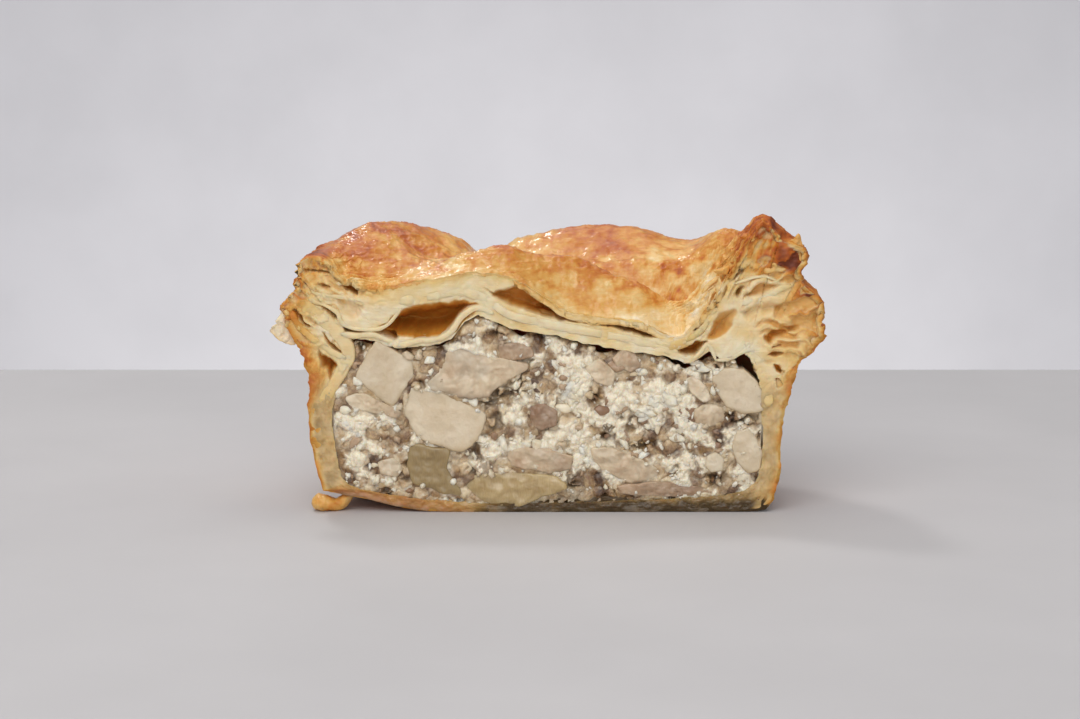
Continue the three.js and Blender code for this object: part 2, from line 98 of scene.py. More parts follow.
# The pastry in the cut, all the way round the filling: a point of its inner line and the outer line's
# point that belongs to it, from the base's middle up the left wall, over the lid and back, as (x, z).
SPOKES = [
    ((0, 1.8), (0, 0)), ((-12, 1.8), (-12, 0.1)), ((-24, 2.4), (-25, 0.3)), ((-34, 3.9), (-36, 2)),
    ((-39.4, 5.4), (-42.2, 2.8)), ((-41.2, 7.4), (-44.8, 5)), ((-41.8, 10.6), (-45.6, 9)),
    ((-42.4, 14), (-46.6, 13)), ((-42.8, 19.5), (-47.2, 19.5)), ((-42, 25), (-47.3, 26)),
    ((-40.4, 28.6), (-48.4, 31)), ((-38.6, 31.6), (-50, 34.5)), ((-38.2, 33.6), (-51.6, 39.6)),
    ((-38.9, 35.3), (-51.4, 44.4)), ((-37.6, 35.4), (-48.3, 51.5)), ((-34.4, 34.9), (-44, 50)),
    ((-31, 33.7), (-38, 47.6)), ((-25.6, 33.8), (-29, 46.5)), ((-21.6, 34.2), (-22, 47.8)),
    ((-18.8, 35.2), (-18, 48.4)), ((-16.2, 38.6), (-15.5, 49)), ((-13.4, 40.2), (-13, 49)),
    ((-11, 39.4), (-10, 48.6)), ((-9, 38.2), (-7, 48)), ((-4.4, 36.8), (-2, 45.5)),
    ((2.2, 36), (2.6, 42.2)), ((9, 34.2), (9.5, 40.6)), ((15.4, 33), (15.8, 40)),
    ((23.8, 32), (22.8, 38.5)), ((28, 30.4), (27, 36.4)), ((30.4, 31.2), (30, 38.6)),
    ((32.8, 32.8), (32.4, 41.8)), ((35, 31.4), (35, 45.5)), ((38, 31.6), (40, 54)),
    ((39.8, 32.8), (45, 59.2)), ((40.8, 31.4), (51.8, 51.9)), ((41.8, 29.4), (52.9, 45.5)),
    ((42.8, 27), (56, 38.4)), ((43.3, 24.6), (52, 31.6)), ((43.6, 19.5), (48.4, 19.5)),
    ((43.9, 14), (47.5, 13)), ((43.5, 9.5), (47, 8)), ((42.4, 6), (46.4, 3.4)),
    ((40, 4.2), (44.6, 0.9)), ((34, 3.2), (37, 0.4)), ((24, 2.6), (25, 0.2)), ((12, 2.1), (12, 0)),
    ((0, 1.8), (0, 0)),
]
BASE_SPOKES = 9  # at either end of the list, these go along the base and up the wall
# Air pockets in the cut: outline in (x, z), depth, how strong the golden-brown painted shade on their floor
# is, width of their slope.
POCKETS = {
    "void_left": (
        [(-45.5, 33.2), (-44.2, 32.2), (-42.7, 31.2), (-41.5, 30.7), (-41.5, 29.6), (-42.1, 28.5),
         (-42.7, 27), (-44, 28.7), (-45.2, 29.8)],
        6, 0.75, 1.4,
    ),
    "loop_left": (
        [(-50.2, 41.4), (-49.4, 41.3), (-48.5, 40), (-48.1, 38.9), (-46.9, 38.2), (-46.6, 37.6),
         (-47.8, 37.7), (-49.1, 38.9), (-50, 40.3)],
        3.5, 0.85, 0.5,
    ),
    "fold_left": (
        [(-48.1, 39.8), (-46.9, 40.3), (-45.8, 39.6), (-45.1, 38.3), (-45.8, 37.7), (-46.5, 38.2),
         (-47.6, 38.9)],
        1.6, 0.25, 0.7,
    ),
    "over_lobe": (
        [(-46.4, 42.9), (-44.2, 42.5), (-42.5, 42), (-41.4, 41.2), (-40.6, 40), (-41, 39.2),
         (-42.5, 39.9), (-44.2, 41), (-46, 42.2)],
        4, 0.7, 0.8,
    ),
    "lobe": (
        [(-46.5, 44.3), (-44.2, 44), (-42, 43.7), (-38.9, 43.3), (-36.2, 42.7), (-36.1, 40.9),
         (-37.1, 39), (-38.9, 39.3), (-40.2, 40), (-41.6, 41.8), (-43.4, 42.5), (-45.1, 43)],
        2.4, 0.12, 1.6,
    ),
    "hole_left": (
        [(-40.9, 46.1), (-39.4, 45.9), (-37.8, 45.5), (-37.3, 44.8), (-37.3, 43.9), (-38.2, 44.3),
         (-39.6, 45)],
        4, 0.85, 0.4,
    ),
    "hole_left_2": (
        [(-45.5, 46.5), (-44, 46.4), (-42.7, 45.7), (-43, 45.3), (-44.2, 45.2), (-45.1, 45.7)],
        2.5, 0.6, 0.6,
    ),
    "slit_left": (
        [(-41.6, 47.2), (-39.4, 46.9), (-36.9, 46.5), (-35.4, 46), (-33.6, 45.2), (-33.8, 44.8),
         (-35.8, 45.5), (-38, 46.1), (-40.2, 46.5)],
        3, 0.7, 0.3,
    ),
    "slit_left_2": (
        [(-48, 49.4), (-44.5, 49.2), (-41.6, 48.2), (-44.4, 48.6), (-47.6, 48.7)],
        3, 0.8, 0.3,
    ),
    "crevice_left": (
        [(-44.4, 36.9), (-43.7, 36.7), (-42.9, 35.2), (-41.6, 33.7), (-40.2, 32.3), (-40.7, 31.9),
         (-42.2, 33.2), (-43.6, 34.5)],
        3, 0.6, 0.5,
    ),
    "under_lobe": (
        [(-40.5, 37.7), (-38, 37.4), (-35.8, 37.2), (-32.9, 37.2), (-31.4, 37.6), (-30.5, 37.4),
         (-29.1, 35.6), (-30, 35), (-32.2, 35.9), (-34.5, 36.5), (-36.7, 36.5), (-38.9, 36.4),
         (-39.9, 36.8)],
        6, 0.6, 0.5,
    ),
    "cavern": (
        [(-34.2, 36.8), (-31.4, 39.2), (-29.4, 41), (-25, 42.3), (-19.4, 43.1), (-14.6, 43.2),
         (-13, 42), (-14.2, 40.2), (-16.4, 38.6), (-17.8, 36.6), (-21, 35.6), (-25, 35.2),
         (-29.4, 35.6), (-33, 36.2)],
        13, 1, 3,
    ),
    "under_flap": (
        [(-13, 46.2), (-10, 44.9), (-7, 45.8), (-4.4, 46.6), (-0.4, 43.6), (2.2, 41.9), (5.6, 40.6),
         (9.8, 39.9), (14.8, 39.4), (18.8, 38.1), (22.8, 37.2), (26.4, 35.8), (25.4, 35.3),
         (20.4, 35.6), (15.2, 37), (12.2, 37.9), (7.6, 38.2), (0.2, 39.6), (-6, 41.6), (-9.4, 43.2)],
        8, 0.8, 1.2,
    ),
    "amber_right": (
        [(26.5, 33.1), (28, 33.9), (29.2, 34.4), (31.2, 35.1), (32.4, 35.2), (32.4, 34.5), (31.4, 33.4),
         (30.2, 32.4), (28.6, 31.9), (27.1, 32.1)],
        6, 0.8, 0.8,
    ),
    "hollow_right": (
        [(32.9, 37.6), (33.2, 39.1), (34.2, 40.4), (36, 41.2), (38, 41.6), (39, 41.1), (38.8, 39.9),
         (37.8, 38.4), (36.9, 36.6), (35.5, 35.6), (33.8, 34.9), (32.2, 35), (32, 36.4)],
        4, 0.45, 2.4,
    ),
    "fold_right": (
        [(39, 41.1), (41.5, 41.9), (44.2, 43.2), (46.2, 42.6), (48, 41.6), (46.5, 40.6), (44, 40.1),
         (41.5, 39.6), (40, 39.1)],
        1.8, 0.1, 1.4,
    ),
    "lens_right": (
        [(43.6, 35.1), (44.1, 36.4), (45.8, 37.6), (48.2, 38.2), (50.8, 38.1), (50.4, 37.2), (48.2, 36),
         (46.1, 35), (44.6, 34.1)],
        3, 0.75, 0.9,
    ),
    "slit_right": (
        [(45.2, 33.6), (46.8, 34.1), (47.3, 33.8), (46, 33.4)],
        2.2, 0.6, 0.3,
    ),
    "slit_right_2": (
        [(44.6, 32.1), (46, 32.6), (47.8, 32.4), (45.8, 31.8)],
        3, 0.7, 0.3,
    ),
    "narrow_right": (
        [(37.8, 44.1), (38.1, 45.2), (39.6, 45.9), (39, 44.4), (38.4, 43.7)],
        4, 0.6, 0.5,
    ),
    "upper_right": (
        [(39.2, 43.5), (40.2, 45), (42.2, 46.5), (44.5, 46.8), (46.5, 45.9), (44.8, 44.6), (42.2, 43.8),
         (40.2, 43.3)],
        3, 0.4, 1.2,
    ),
    "orange_right": (
        [(36.7, 47.5), (37.6, 49.3), (39.2, 49.4), (40, 49), (38.6, 48), (37.4, 47.4)],
        5, 0.9, 0.5,
    ),
    "orange_right_2": (
        [(32.9, 42), (33, 43.5), (34.1, 45.2), (35.7, 45.9), (36, 44.7), (35.1, 43.2), (33.6, 42)],
        6, 0.85, 0.6,
    ),
    "small_right": (
        [(31.8, 44.6), (32.4, 45), (33, 43.8), (32.3, 43.2)],
        2, 0.8, 0.3,
    ),
    "shelf_right": (
        [(38.5, 30.9), (40, 31.7), (41.1, 30.6), (42.4, 28.9), (41.6, 28.6), (40.5, 29.7), (39, 30.2)],
        4, 0.6, 0.5,
    ),
    "flaky_right": (
        [(45.6, 30.1), (46.9, 29.9), (48.1, 28.6), (47.6, 28.1), (46.5, 28.5)],
        3, 0.9, 0.4,
    ),
    "flaky_right_2": (
        [(46.2, 27), (47, 27.2), (47.4, 26.1), (46.6, 25.6)],
        2.5, 0.9, 0.4,
    ),
}

# Leaves in the cut: path in (x, z), thickness, depth, how far the front edge lies behind the cut,
# browning added along it (start, end).
LEAVES = {
    "wall_left": (
        [(-44.8, 21.8), (-43.6, 24), (-42, 26.6), (-40.6, 29), (-39.6, 31.2), (-39.4, 33),
         (-40.2, 34.8), (-41.8, 36.8), (-44, 39), (-46.8, 41.2), (-49.2, 42.8)],
        2.6, 5, 0, 0, 0.1,
    ),
    "under_left": (
        [(-40.8, 36.4), (-37.6, 36), (-34.4, 36.2), (-31, 34.8), (-29.2, 34), (-25.6, 34.9),
         (-21.6, 35.3), (-18.8, 36.8), (-16.4, 40), (-13.4, 41.6), (-10.2, 40.4)],
        1.2, 6, -0.2, 0, 0,
    ),
    "outer_left": (
        [(-50.8, 41.2), (-49.6, 38.6), (-47.4, 36.2), (-44.6, 34), (-41.8, 32.2), (-39.8, 31.4)],
        1.3, 4, 0, 0.1, 0,
    ),
    "lobe_left": (
        [(-47.6, 44.6), (-46.2, 43), (-43.6, 42), (-41.4, 40.6), (-40.8, 39), (-39.4, 37.8),
         (-36.6, 37.3), (-33.4, 37.3), (-31.4, 38.2), (-29.8, 40), (-28.6, 41.6)],
        0.8, 5, -0.2, 0, 0,
    ),
    "rib_left": (
        [(-48.6, 46.6), (-47.2, 45.4), (-45.4, 44.3), (-42.6, 43.9), (-39.6, 43.4), (-37.4, 42.6),
         (-34.6, 41.9), (-31.4, 41.8)],
        0.7, 3, 0.1, 0, 0,
    ),
    "band": (
        [(-30.4, 42.6), (-25.6, 43.4), (-20.2, 44.2), (-16.6, 44.6), (-13, 43.8), (-10, 42), (-6.6, 40),
         (0.2, 38.4), (7.6, 37), (12.2, 36.2), (15.2, 35.6), (20.4, 34.4), (24.6, 33.9), (28.2, 34.9),
         (31.4, 37.4)],
        1.8, 5, -0.1, 0, 0,
    ),
    "band_end": (
        [(28.2, 34.9), (31.4, 37.4), (33.4, 40.6), (35.4, 42), (37.6, 42.8), (40, 42.6), (42.4, 43),
         (44.6, 44), (46.8, 45.4), (49, 46)],
        1.1, 4, -0.1, 0, 0,
    ),
    "sag_right": (
        [(23.8, 32.8), (26.2, 31.8), (28.8, 30.8), (31, 32.6), (32.4, 34.2), (33.4, 33), (34.2, 31)],
        0.8, 4, -0.1, 0, 0,
    ),
    "shelf_right": (
        [(34.2, 31), (37.2, 31.4), (39.4, 32.6), (41.4, 33), (43, 32.2)],
        0.9, 5, -0.1, 0, 0,
    ),
    "roof_right": (
        [(35.6, 46.6), (38, 46.6), (41.6, 47.6), (44, 47.8), (46.2, 46.8), (47.6, 45.4)],
        0.6, 4, 0, 0, 0,
    ),
    "wall_right": (
        [(44.8, 21.6), (44.8, 25.6), (44, 28.6), (42.8, 31), (41.4, 33), (40.2, 34.6)],
        2, 4, 0, 0, 0,
    ),
}

# The crisp foot at the left: its path in (x, z), and its radius at shares of the path's length.
FOOT_PATH = [(-47.2, 1.2), (-45.6, 1.5), (-43.8, 1.5), (-42, 1.3), (-40.4, 2.2), (-38.8, 3.6)]
FOOT_REACH = ([0, 0.06, 0.2, 0.4, 0.58, 0.75, 1], [0.3, 1.2, 1.75, 1.55, 1.15, 1.25, 0.5])
# Large pieces in the cut: outline in (x, z), depth, kind and how pale they are.
PIECES = {
    "potato_upper_left": (
        [(-33.8, 35), (-29.6, 32.8), (-26.8, 31.2), (-26.2, 27.8), (-28.4, 24.6), (-30.6, 21.2),
         (-33.8, 23.4), (-38, 27.6), (-35.8, 32.2)],
        11, "potato", 0.6,
    ),
    "potato_middle_left": (
        [(-27, 25.4), (-21, 24.4), (-15, 21.8), (-11.6, 20), (-12.2, 17), (-14.6, 13.4), (-16.6, 12.2),
         (-21.4, 13.4), (-25.8, 15.4), (-28.2, 20.2)],
        12, "potato", 0.6,
    ),
    "potato_upper_right": (
        [(33.4, 27.4), (35.8, 29.4), (39.8, 29.2), (42.4, 27), (43.8, 24.2), (44, 20.6), (40, 20),
         (36.6, 21.4), (34.6, 24.2)],
        10, "potato", 0.6,
    ),
    "potato_lower_right": (
        [(38.6, 16.6), (41, 17), (42.6, 15), (44, 12.2), (43.4, 8.6), (41, 7.8), (38.6, 10.2),
         (37.6, 13.4)],
        8, "potato", 0.6,
    ),
    "potato_small_right": (
        [(32.6, 11.4), (34.6, 12.4), (36.2, 10.8), (35.8, 8.4), (33.4, 8), (32.2, 9.6)],
        5, "potato", 0.6,
    ),
    "onion_left": (
        [(-26.8, 14), (-23, 13.4), (-19.2, 12.8), (-19.8, 9), (-17.6, 5.4), (-16.4, 3.2), (-21, 3.8),
         (-26.4, 5.8), (-28, 9.4)],
        9, "onion", 0.6,
    ),
    "onion_base": (
        [(-16.8, 5.2), (-13.2, 7.8), (-6.8, 8), (-0.4, 7.8), (3, 7), (4.6, 4.8), (-0.6, 3), (-4.8, 1.2),
         (-9.4, 0.6), (-13, 1.8)],
        12, "onion", 0.6,
    ),
    "mushroom_cap_slice": (
        [(-21.8, 28.2), (-19.8, 32.2), (-16.6, 33.8), (-13, 32.2), (-7.8, 31.2), (-3.4, 30.4),
         (-3.6, 29), (-7.8, 26.6), (-12.2, 23.4), (-17.4, 23.6), (-21.4, 24.4), (-24.2, 25.8)],
        9, "mushroom", 0.78,
    ),
    "mushroom_block": (
        [(-9.6, 34), (-6.2, 34.6), (-2.6, 33.6), (-2.2, 31.8), (-5, 31), (-9, 31.2)],
        6, "mushroom", 0.5,
    ),
    "mushroom_left_strip": (
        [(-40, 23.6), (-36.6, 24.4), (-33, 22.6), (-29, 20.6), (-29.8, 19.2), (-34.2, 20.2), (-38.6, 21)],
        7, "mushroom", 0.8,
    ),
    "mushroom_centre": (
        [(-3, 21.8), (0, 22.2), (2.4, 20.6), (2.2, 17.8), (-0.6, 16.6), (-3.2, 17.8)],
        6, "mushroom", 0.38,
    ),
    "mushroom_top_right": (
        [(13.4, 31.4), (15.4, 33.4), (17.8, 32.6), (19.2, 29.8), (17.4, 28.4), (14.6, 29.4)],
        6, "mushroom", 0.62,
    ),
    "mushroom_long_slice": (
        [(-8, 12.2), (-4, 13.2), (1, 12.8), (5.4, 11.4), (5, 8.8), (1.4, 7.8), (-3, 8.6), (-7, 9.4)],
        9, "mushroom", 0.7,
    ),
    "mushroom_right_slice": (
        [(9, 13), (13, 13.4), (18.2, 11.4), (23.4, 8.6), (23, 6.6), (17.4, 5.8), (12.2, 8.2),
         (9.8, 10.2)],
        9, "mushroom", 0.74,
    ),
    "mushroom_pale_slice": (
        [(28, 27), (30, 27.8), (32.2, 25.8), (33.4, 23), (31.8, 22.4), (29.4, 24.2)],
        6, "mushroom", 0.9,
    ),
}
# Smaller slices that are part of the heap, given in the same way.
BITS = {
    "block_right": (
        [(29.8, 21), (32.6, 22.2), (35.8, 21.4), (36.2, 18.6), (33.4, 17.4), (30.2, 18.2)],
        5, "mushroom", 0.85,
    ),
    "wedge_top": (
        [(8, 29.4), (11, 31.4), (14.2, 28.2), (13.4, 25.4), (10.2, 26.6)],
        4, "mushroom", 0.8,
    ),
    "brown_top": (
        [(12.4, 30.2), (14.6, 31.2), (16.2, 29.4), (14.2, 28.4)],
        3, "mushroom", 0.45,
    ),
    "bit_left": (
        [(-33.8, 10.2), (-30.6, 11), (-28.6, 9), (-29.8, 7), (-33, 7.8)],
        4, "mushroom", 0.8,
    ),
    "slab_base": (
        [(14.6, 5.4), (23, 6.2), (32.2, 5), (34.2, 3.6), (25, 3), (15, 3.8)],
        6, "mushroom", 0.5,
    ),
}
# Thin flakes that stand off the pastry at both corners: outline in (x, z) and how baked they are.
FLAKES = {
    "flake_left": (
        [(-55.2, 36.8), (-54.5, 37.7), (-53.6, 38.3), (-54, 38.9), (-52.8, 40.5), (-52.1, 41.8),
         (-51.2, 40.7), (-51, 38.7), (-50.6, 36.3), (-50, 33.9), (-52, 34.3), (-54, 35.4)],
        0.02,
    ),
    "leaf_right": (
        [(48.2, 55), (49.6, 55.4), (50.4, 56.2), (51, 54.9), (51.8, 53.1), (51.9, 50.6), (51, 48.6),
         (49.5, 47.6), (48, 49.6), (47.5, 52.1)],
        0.44,
    ),
}
# How a kind of piece is sliced: how sharp its corners are, how uneven its outline, how rough its face,
# how far that bows forward in the middle, and the radius of its edge.
SLICING = {
    "potato": (0.78, 0.04, 0.22, 0.15, 0.35),
    "onion": (0.4, 0.05, 0.4, 0.3, 0.4),
    "mushroom": (0.65, 0.08, 0.6, 0.15, 0.3),
    "shard": (0.75, 0.1, 0.4, 0.1, 0.22),
    "curd": (0.7, 0.18, 0.5, 0.3, 0.35),
    "flake": (0.85, 0.1, 0.9, 0.4, 0.1),
}
# Upper edges of the cut that are torn: start, end and number of torn leaf ends.
TORN_EDGES = [((32.5, 44), (43, 56), 8), ((38, 48), (49, 51), 5)]
# Where the filling is rich in white curds: x, z, half width, half height, share.
WHITE_ZONES = np.array([
    (18, 25.5, 5, 3.2, 1), (24.5, 19.5, 5, 5, 1.2), (12.5, 17, 2.5, 2.5, 0.9), (4.5, 25, 5, 2.6, 0.9),
    (27.5, 8, 2, 2.2, 0.9), (8, 16, 2.4, 2, 0.7), (0.5, 14.4, 2, 1.6, 0.8), (-39, 17.8, 3, 2.2, 1.1),
    (-37, 10.4, 2.6, 1.6, 0.9), (-12, 13.4, 2.6, 3, 1.2), (-2.6, 23.4, 3, 2, 0.9),
    (-29.4, 21.6, 2, 1.2, 0.8), (-35, 19, 4, 1.8, 0.7), (-13.8, 33, 1.8, 2.4, 1),
    (-17.8, 32.4, 1.4, 2.4, 0.8), (-7.8, 22, 1.6, 1.8, 0.8), (-8, 12.6, 3, 1.2, 0.7),
    (-2, 14, 6, 1.2, 0.7), (21, 31.4, 4, 1.4, 0.5), (28, 30, 3, 1.6, 0.8), (-32, 11, 3, 1.5, 0.4),
    (30, 15, 3, 2.5, 0.8), (14, 21.5, 5, 3, 0.6), (36, 8, 3, 2, 0.5),
])
# Hollows of the filling, painted dark as shade: x, z, half width, half height.
HOLLOWS = [
    (-8.5, 24.2, 5, 1.2), (-11, 22.6, 2.5, 1), (1, 17.6, 1.6, 1), (5.7, 5.4, 1.4, 0.9),
    (19.5, 13.5, 3.2, 1), (32.5, 29, 1.2, 2), (39.5, 19, 4, 1.3), (41.5, 15.5, 2, 1.2),
    (34.5, 6.5, 2.4, 1.3), (10, 24, 1.2, 1.4), (-37, 33.6, 1.2, 1), (-36.8, 21.2, 2, 0.8),
    (12, 15.4, 1.2, 0.8), (35, 30, 2.2, 1), (-9, 36.4, 2, 0.8),
]

# ---- stage ----------------------------------------------------------------------------------
STAGE_SIDE = 1500  # half the width of floor and wall, mm
FLOOR_END = 155  # where the floor stops behind the pie, mm
WALL_PLACE = 950  # how far back the wall stands, mm
WALL_LOW, WALL_HIGH = -600, 900  # mm
AIM = (-1.0, CUT_Y, 31.2)  # the middle of the picture, mm
CAMERA_DISTANCE = 0.48  # m
CAMERA_TILT = 9.0  # degrees that the camera looks down
CAMERA_LENS = 80  # mm, for a sensor 36 mm wide
SKY = (232, 234, 240)  # sRGB
SKY_STRENGTH = 0.35
# Soft square lights aimed at the pie: place and width in m, power in W.
LIGHTS = {
    "key_light": ((-0.26, -0.7, 0.76), 0.75, 5.2),
    "fill_light": ((0.1, -0.85, 0.25), 0.7, 2.0),
    "top_light": ((0.05, 0.15, 0.9), 0.7, 2.3),
    "back_light": ((-0.22, 0.32, 0.6), 0.1, 0.9),
}
# The light on the wall: place and aim in m, width in m, power in W.
WALL_LIGHT = ((0.0, 0.45, -0.45), (0.0, 0.95, 0.0), 0.5, 2.85)


# ---- number tools ---------------------------------------------------------------------------
def ease(value, low, high):
    """0 below low, 1 above high and a smooth rise between: t * t * (3 - 2 * t)."""
    t = np.clip((value - low) / (high - low), 0, 1)
    return t * t * (3 - 2 * t)


def mix(a, b, share):
    """a where share is 0, b where it is 1."""
    return a + (b - a) * share


def bell(u, v, middle_u, middle_v, half_u, half_v):
    """1 in the middle and less away from it: e to minus the squared distances over the half widths."""
    return np.exp(-(((u - middle_u) / half_u) ** 2) - ((v - middle_v) / half_v) ** 2)


def turned(u, w, lean):
    """Points (u, w) turned by an angle."""
    return np.stack([u * np.cos(lean) - w * np.sin(lean), u * np.sin(lean) + w * np.cos(lean)], -1)


def noise(points, size, seed=0):
    """Smooth noise from -1 to 1: hashed values on a lattice of cells of that size, eased between."""
    q = np.asarray(points, float) / size + 31.7 + 7.13 * seed
    cell = np.floor(q).astype(np.int64)
    f = q - cell
    f = f * f * (3 - 2 * f)
    total = 0
    for corner in np.ndindex(*(2,) * q.shape[-1]):
        key = np.full(cell.shape[:-1], seed * 7919, np.int64)
        weight = 1.0
        for axis, step in enumerate(corner):
            key = (key ^ ((cell[..., axis] + step) * (73856093, 19349663, 83492791)[axis])) & 0x7FFFFFFF
            weight = weight * (f[..., axis] if step else 1 - f[..., axis])
        key = ((key ^ (key >> 13)) * 1274126177) & 0x7FFFFFFF
        key = ((key ^ (key >> 16)) * 69069) & 0x7FFFFFFF
        total = total + weight * ((key >> 8 & 0xFFFF) / 32767.5 - 1)
    return total


def layered(points, size, seed=0, octaves=3):
    """Noise plus noise of half the size and half the reach, and so on."""
    parts = [noise(points, size / 2**k, seed + k) / 2**k for k in range(octaves)]
    return sum(parts) / 1.4


def ridged(points, size, seed=0, octaves=3):
    """Sharp ridges where layered noise crosses zero, from 0 to 1."""
    parts = [(1 - np.abs(noise(points, size / 2**k, seed + k)) * 1.6) / 2**k for k in range(octaves)]
    return np.clip(sum(parts) / 1.75, 0, 1)


def terraced(height, step, sharp=0.75):
    """A height pulled into steps of that size: flat treads and steep risers."""
    level = np.floor(height / step)
    rest = height / step - level
    return step * (level + mix(rest, ease(rest, 0.35, 0.65), sharp))


def spline(points, t, closed=False):
    """Points at shares t of the length of a Catmull-Rom curve through the given ones."""
    p = np.asarray(points, float)
    ring = np.vstack([p, p[:1]]) if closed else p
    knots = np.concatenate([[0], np.cumsum(np.linalg.norm(np.diff(ring, axis=0), axis=1))])
    knots /= knots[-1]
    ends = (p[-1:], p[1:2]) if closed else (2 * p[:1] - p[1:2], 2 * p[-1:] - p[-2:-1])
    ring = np.vstack([ends[0], ring, ends[1]])
    t = np.clip(np.asarray(t, float), 0, 1)
    i = np.clip(np.searchsorted(knots, t, "right") - 1, 0, len(knots) - 2)
    f = ((t - knots[i]) / (knots[i + 1] - knots[i]))[..., None]
    a, b, c, e = ring[i], ring[i + 1], ring[i + 2], ring[i + 3]
    return 0.5 * (2 * b + (c - a) * f + (2 * a - 5 * b + 4 * c - e) * f**2 + (3 * b - a - 3 * c + e) * f**3)


def by_station(stations, t):
    """Points at shares t of the way through the stations, each as far from the next as any other."""
    p = np.asarray(stations, float)
    k = np.asarray(t) * (len(p) - 1)
    return np.stack([np.interp(k, np.arange(len(p)), p[:, axis]) for axis in (0, 1)], -1)


def round_the_back(pair, t, azimuth, curve=by_station):
    """A section that is the first of the pair at azimuth 0, the second at half a turn, a mix between."""
    share = ((1 - np.cos(azimuth)) / 2)[..., None]
    return mix(curve(pair[0], t), curve(pair[1], t), share)


def sweep(share):
    """Azimuths from the right end of the cut round the back to its left end, closer near the cut."""
    return HALF_TURN * share - 0.13 * np.sin(2 * HALF_TURN * share)


def on_circle(r, azimuth, z):
    """Points at a radius, an azimuth and a height, as x, d, z."""
    return np.stack([r * np.cos(azimuth), r * np.sin(azimuth), z], -1)


def lid_top(x, d):
    """Height of the lid's upper face: a level plus bell-shaped lobes and dips."""
    z = np.full(np.broadcast(x, d).shape, LID_LEVEL)
    for x0, d0, spread_x, spread_d, rise in LOBES:
        z = z + rise * bell(x, d, x0, d0, spread_x, spread_d)
    return z


def underside(x):
    """Height of the lid's lower face in the cut."""
    line = np.array(UNDERSIDE)
    return np.interp(x, line[:, 0], line[:, 1])


def outer_radius(z, azimuth):
    """Radius of the pie's outer side at a height, from the case's and the rim's sections."""
    sides = []
    for case, rim in zip(CASE_OUTER, RIM_SIDE):
        line = np.array(case[5:] + rim[1:])
        sides.append(np.interp(z, np.maximum.accumulate(line[:, 1]), line[:, 0]))
    return mix(sides[0], sides[1], (1 - np.cos(azimuth)) / 2)


def browning(p, reach=2.6):
    """How far pastry is baked, 0 raw to 1 dark, from how near the outside it lies, side and top."""
    x, d, z = p[..., 0], p[..., 1], p[..., 2]
    side = outer_radius(z, np.arctan2(np.maximum(d, 0), x)) - np.hypot(x, d)
    top = lid_top(x, np.maximum(d, 0)) - z
    middle = np.exp(-(((x + 2) / 26) ** 4))
    near_side = 0.72 * np.exp(-np.clip(side, 0, None) / reach)
    near_top = mix(0.62, 0.3, middle) * np.exp(-np.clip(top, 0, None) / mix(2.0, 1.2, middle))
    return 0.1 + np.maximum(near_side, near_top)


# ---- mesh tools -----------------------------------------------------------------------------
def grid_faces(rows, columns, ring=False, loop=False):
    """Triangles of a grid of points in row order; a ring joins the last column to the first, and a
    loop the last row to the first."""
    i, j = np.arange(rows if loop else rows - 1), np.arange(columns if ring else columns - 1)
    i, j = np.meshgrid(i, j, indexing="ij")
    a, b = i * columns + j, i * columns + (j + 1) % columns
    below = (i + 1) % rows * columns
    quads = np.stack([a, b, below + (j + 1) % columns, below + j], -1).reshape(-1, 4)
    return np.vstack([quads[:, [0, 1, 2]], quads[:, [0, 2, 3]]])


def outward(points, faces):
    """The faces, turned round if the closed shape they bound has a negative volume."""
    a, b, c = (points[faces[:, k]] for k in range(3))
    return faces if np.einsum("ij,ij->", a, np.cross(b, c)) > 0 else faces[:, ::-1]


def closed_sheet(front, back, **values):
    """A closed solid between two grids of the same size, joined at their edges."""
    rows, columns = front.shape[:2]
    count = rows * columns
    faces = grid_faces(rows, columns)
    index = np.arange(count).reshape(rows, columns)
    edge = np.concatenate([index[0, :-1], index[:-1, -1], index[-1, :0:-1], index[:0:-1, 0]])
    after = np.roll(edge, -1)
    rim = [np.stack([edge, after + count, after], -1), np.stack([edge, edge + count, after + count], -1)]
    points = np.vstack([front.reshape(-1, 3), back.reshape(-1, 3)])
    faces = np.vstack([faces, faces[:, ::-1] + count, *rim])
    each = {key: np.broadcast_to(v, (2, rows, columns)).ravel() for key, v in values.items()}
    return points, outward(points, faces), each


def closed_rings(rings, loop=False, **values):
    """A closed solid from rings of points. A loop joins the last ring to the first; otherwise the first
    and the last are each closed by a point at their middle."""
    rows, columns = rings.shape[:2]
    points, faces = rings.reshape(-1, 3), grid_faces(rows, columns, True, loop)
    each = {key: np.broadcast_to(v, (rows, columns)).ravel() for key, v in values.items()}
    if not loop:
        j, k = np.arange(columns), (np.arange(columns) + 1) % columns
        middle, end = np.full(columns, len(points)), (rows - 1) * columns
        caps = [np.stack([middle, k, j], -1), np.stack([middle + 1, j + end, k + end], -1)]
        points = np.vstack([points, rings[0].mean(0), rings[-1].mean(0)])
        faces = np.vstack([faces, *caps])
        each = {key: np.concatenate([v, [v[:columns].mean(), v[end:].mean()]]) for key, v in each.items()}
    return points, outward(points, faces), each


def relief(front, step, axis, gap, loop=False, **values):
    """A closed solid of a fine grid and a coarse back: every so many columns again, last first, the outer
    ones drawn in a little, moved along an axis until they lie that gap clear of the columns near them."""
    count, side = front.shape[1], np.sign(gap)
    picked = np.arange(count - 1, -1, -step)
    nearby = np.clip(picked[:, None] + np.arange(-step, step + 1), 0, count - 1)
    back = front[:, np.clip(picked, step // 2, count - 1 - step // 2)]
    back[..., axis] = side * (front[:, nearby, axis] * side).max(-1) + gap
    each = {key: np.broadcast_to(v, front.shape[:2]) for key, v in values.items()}
    each = {key: np.concatenate([v, v[:, picked]], axis=1) for key, v in each.items()}
    return closed_rings(np.concatenate([front, back], axis=1), loop, **each)


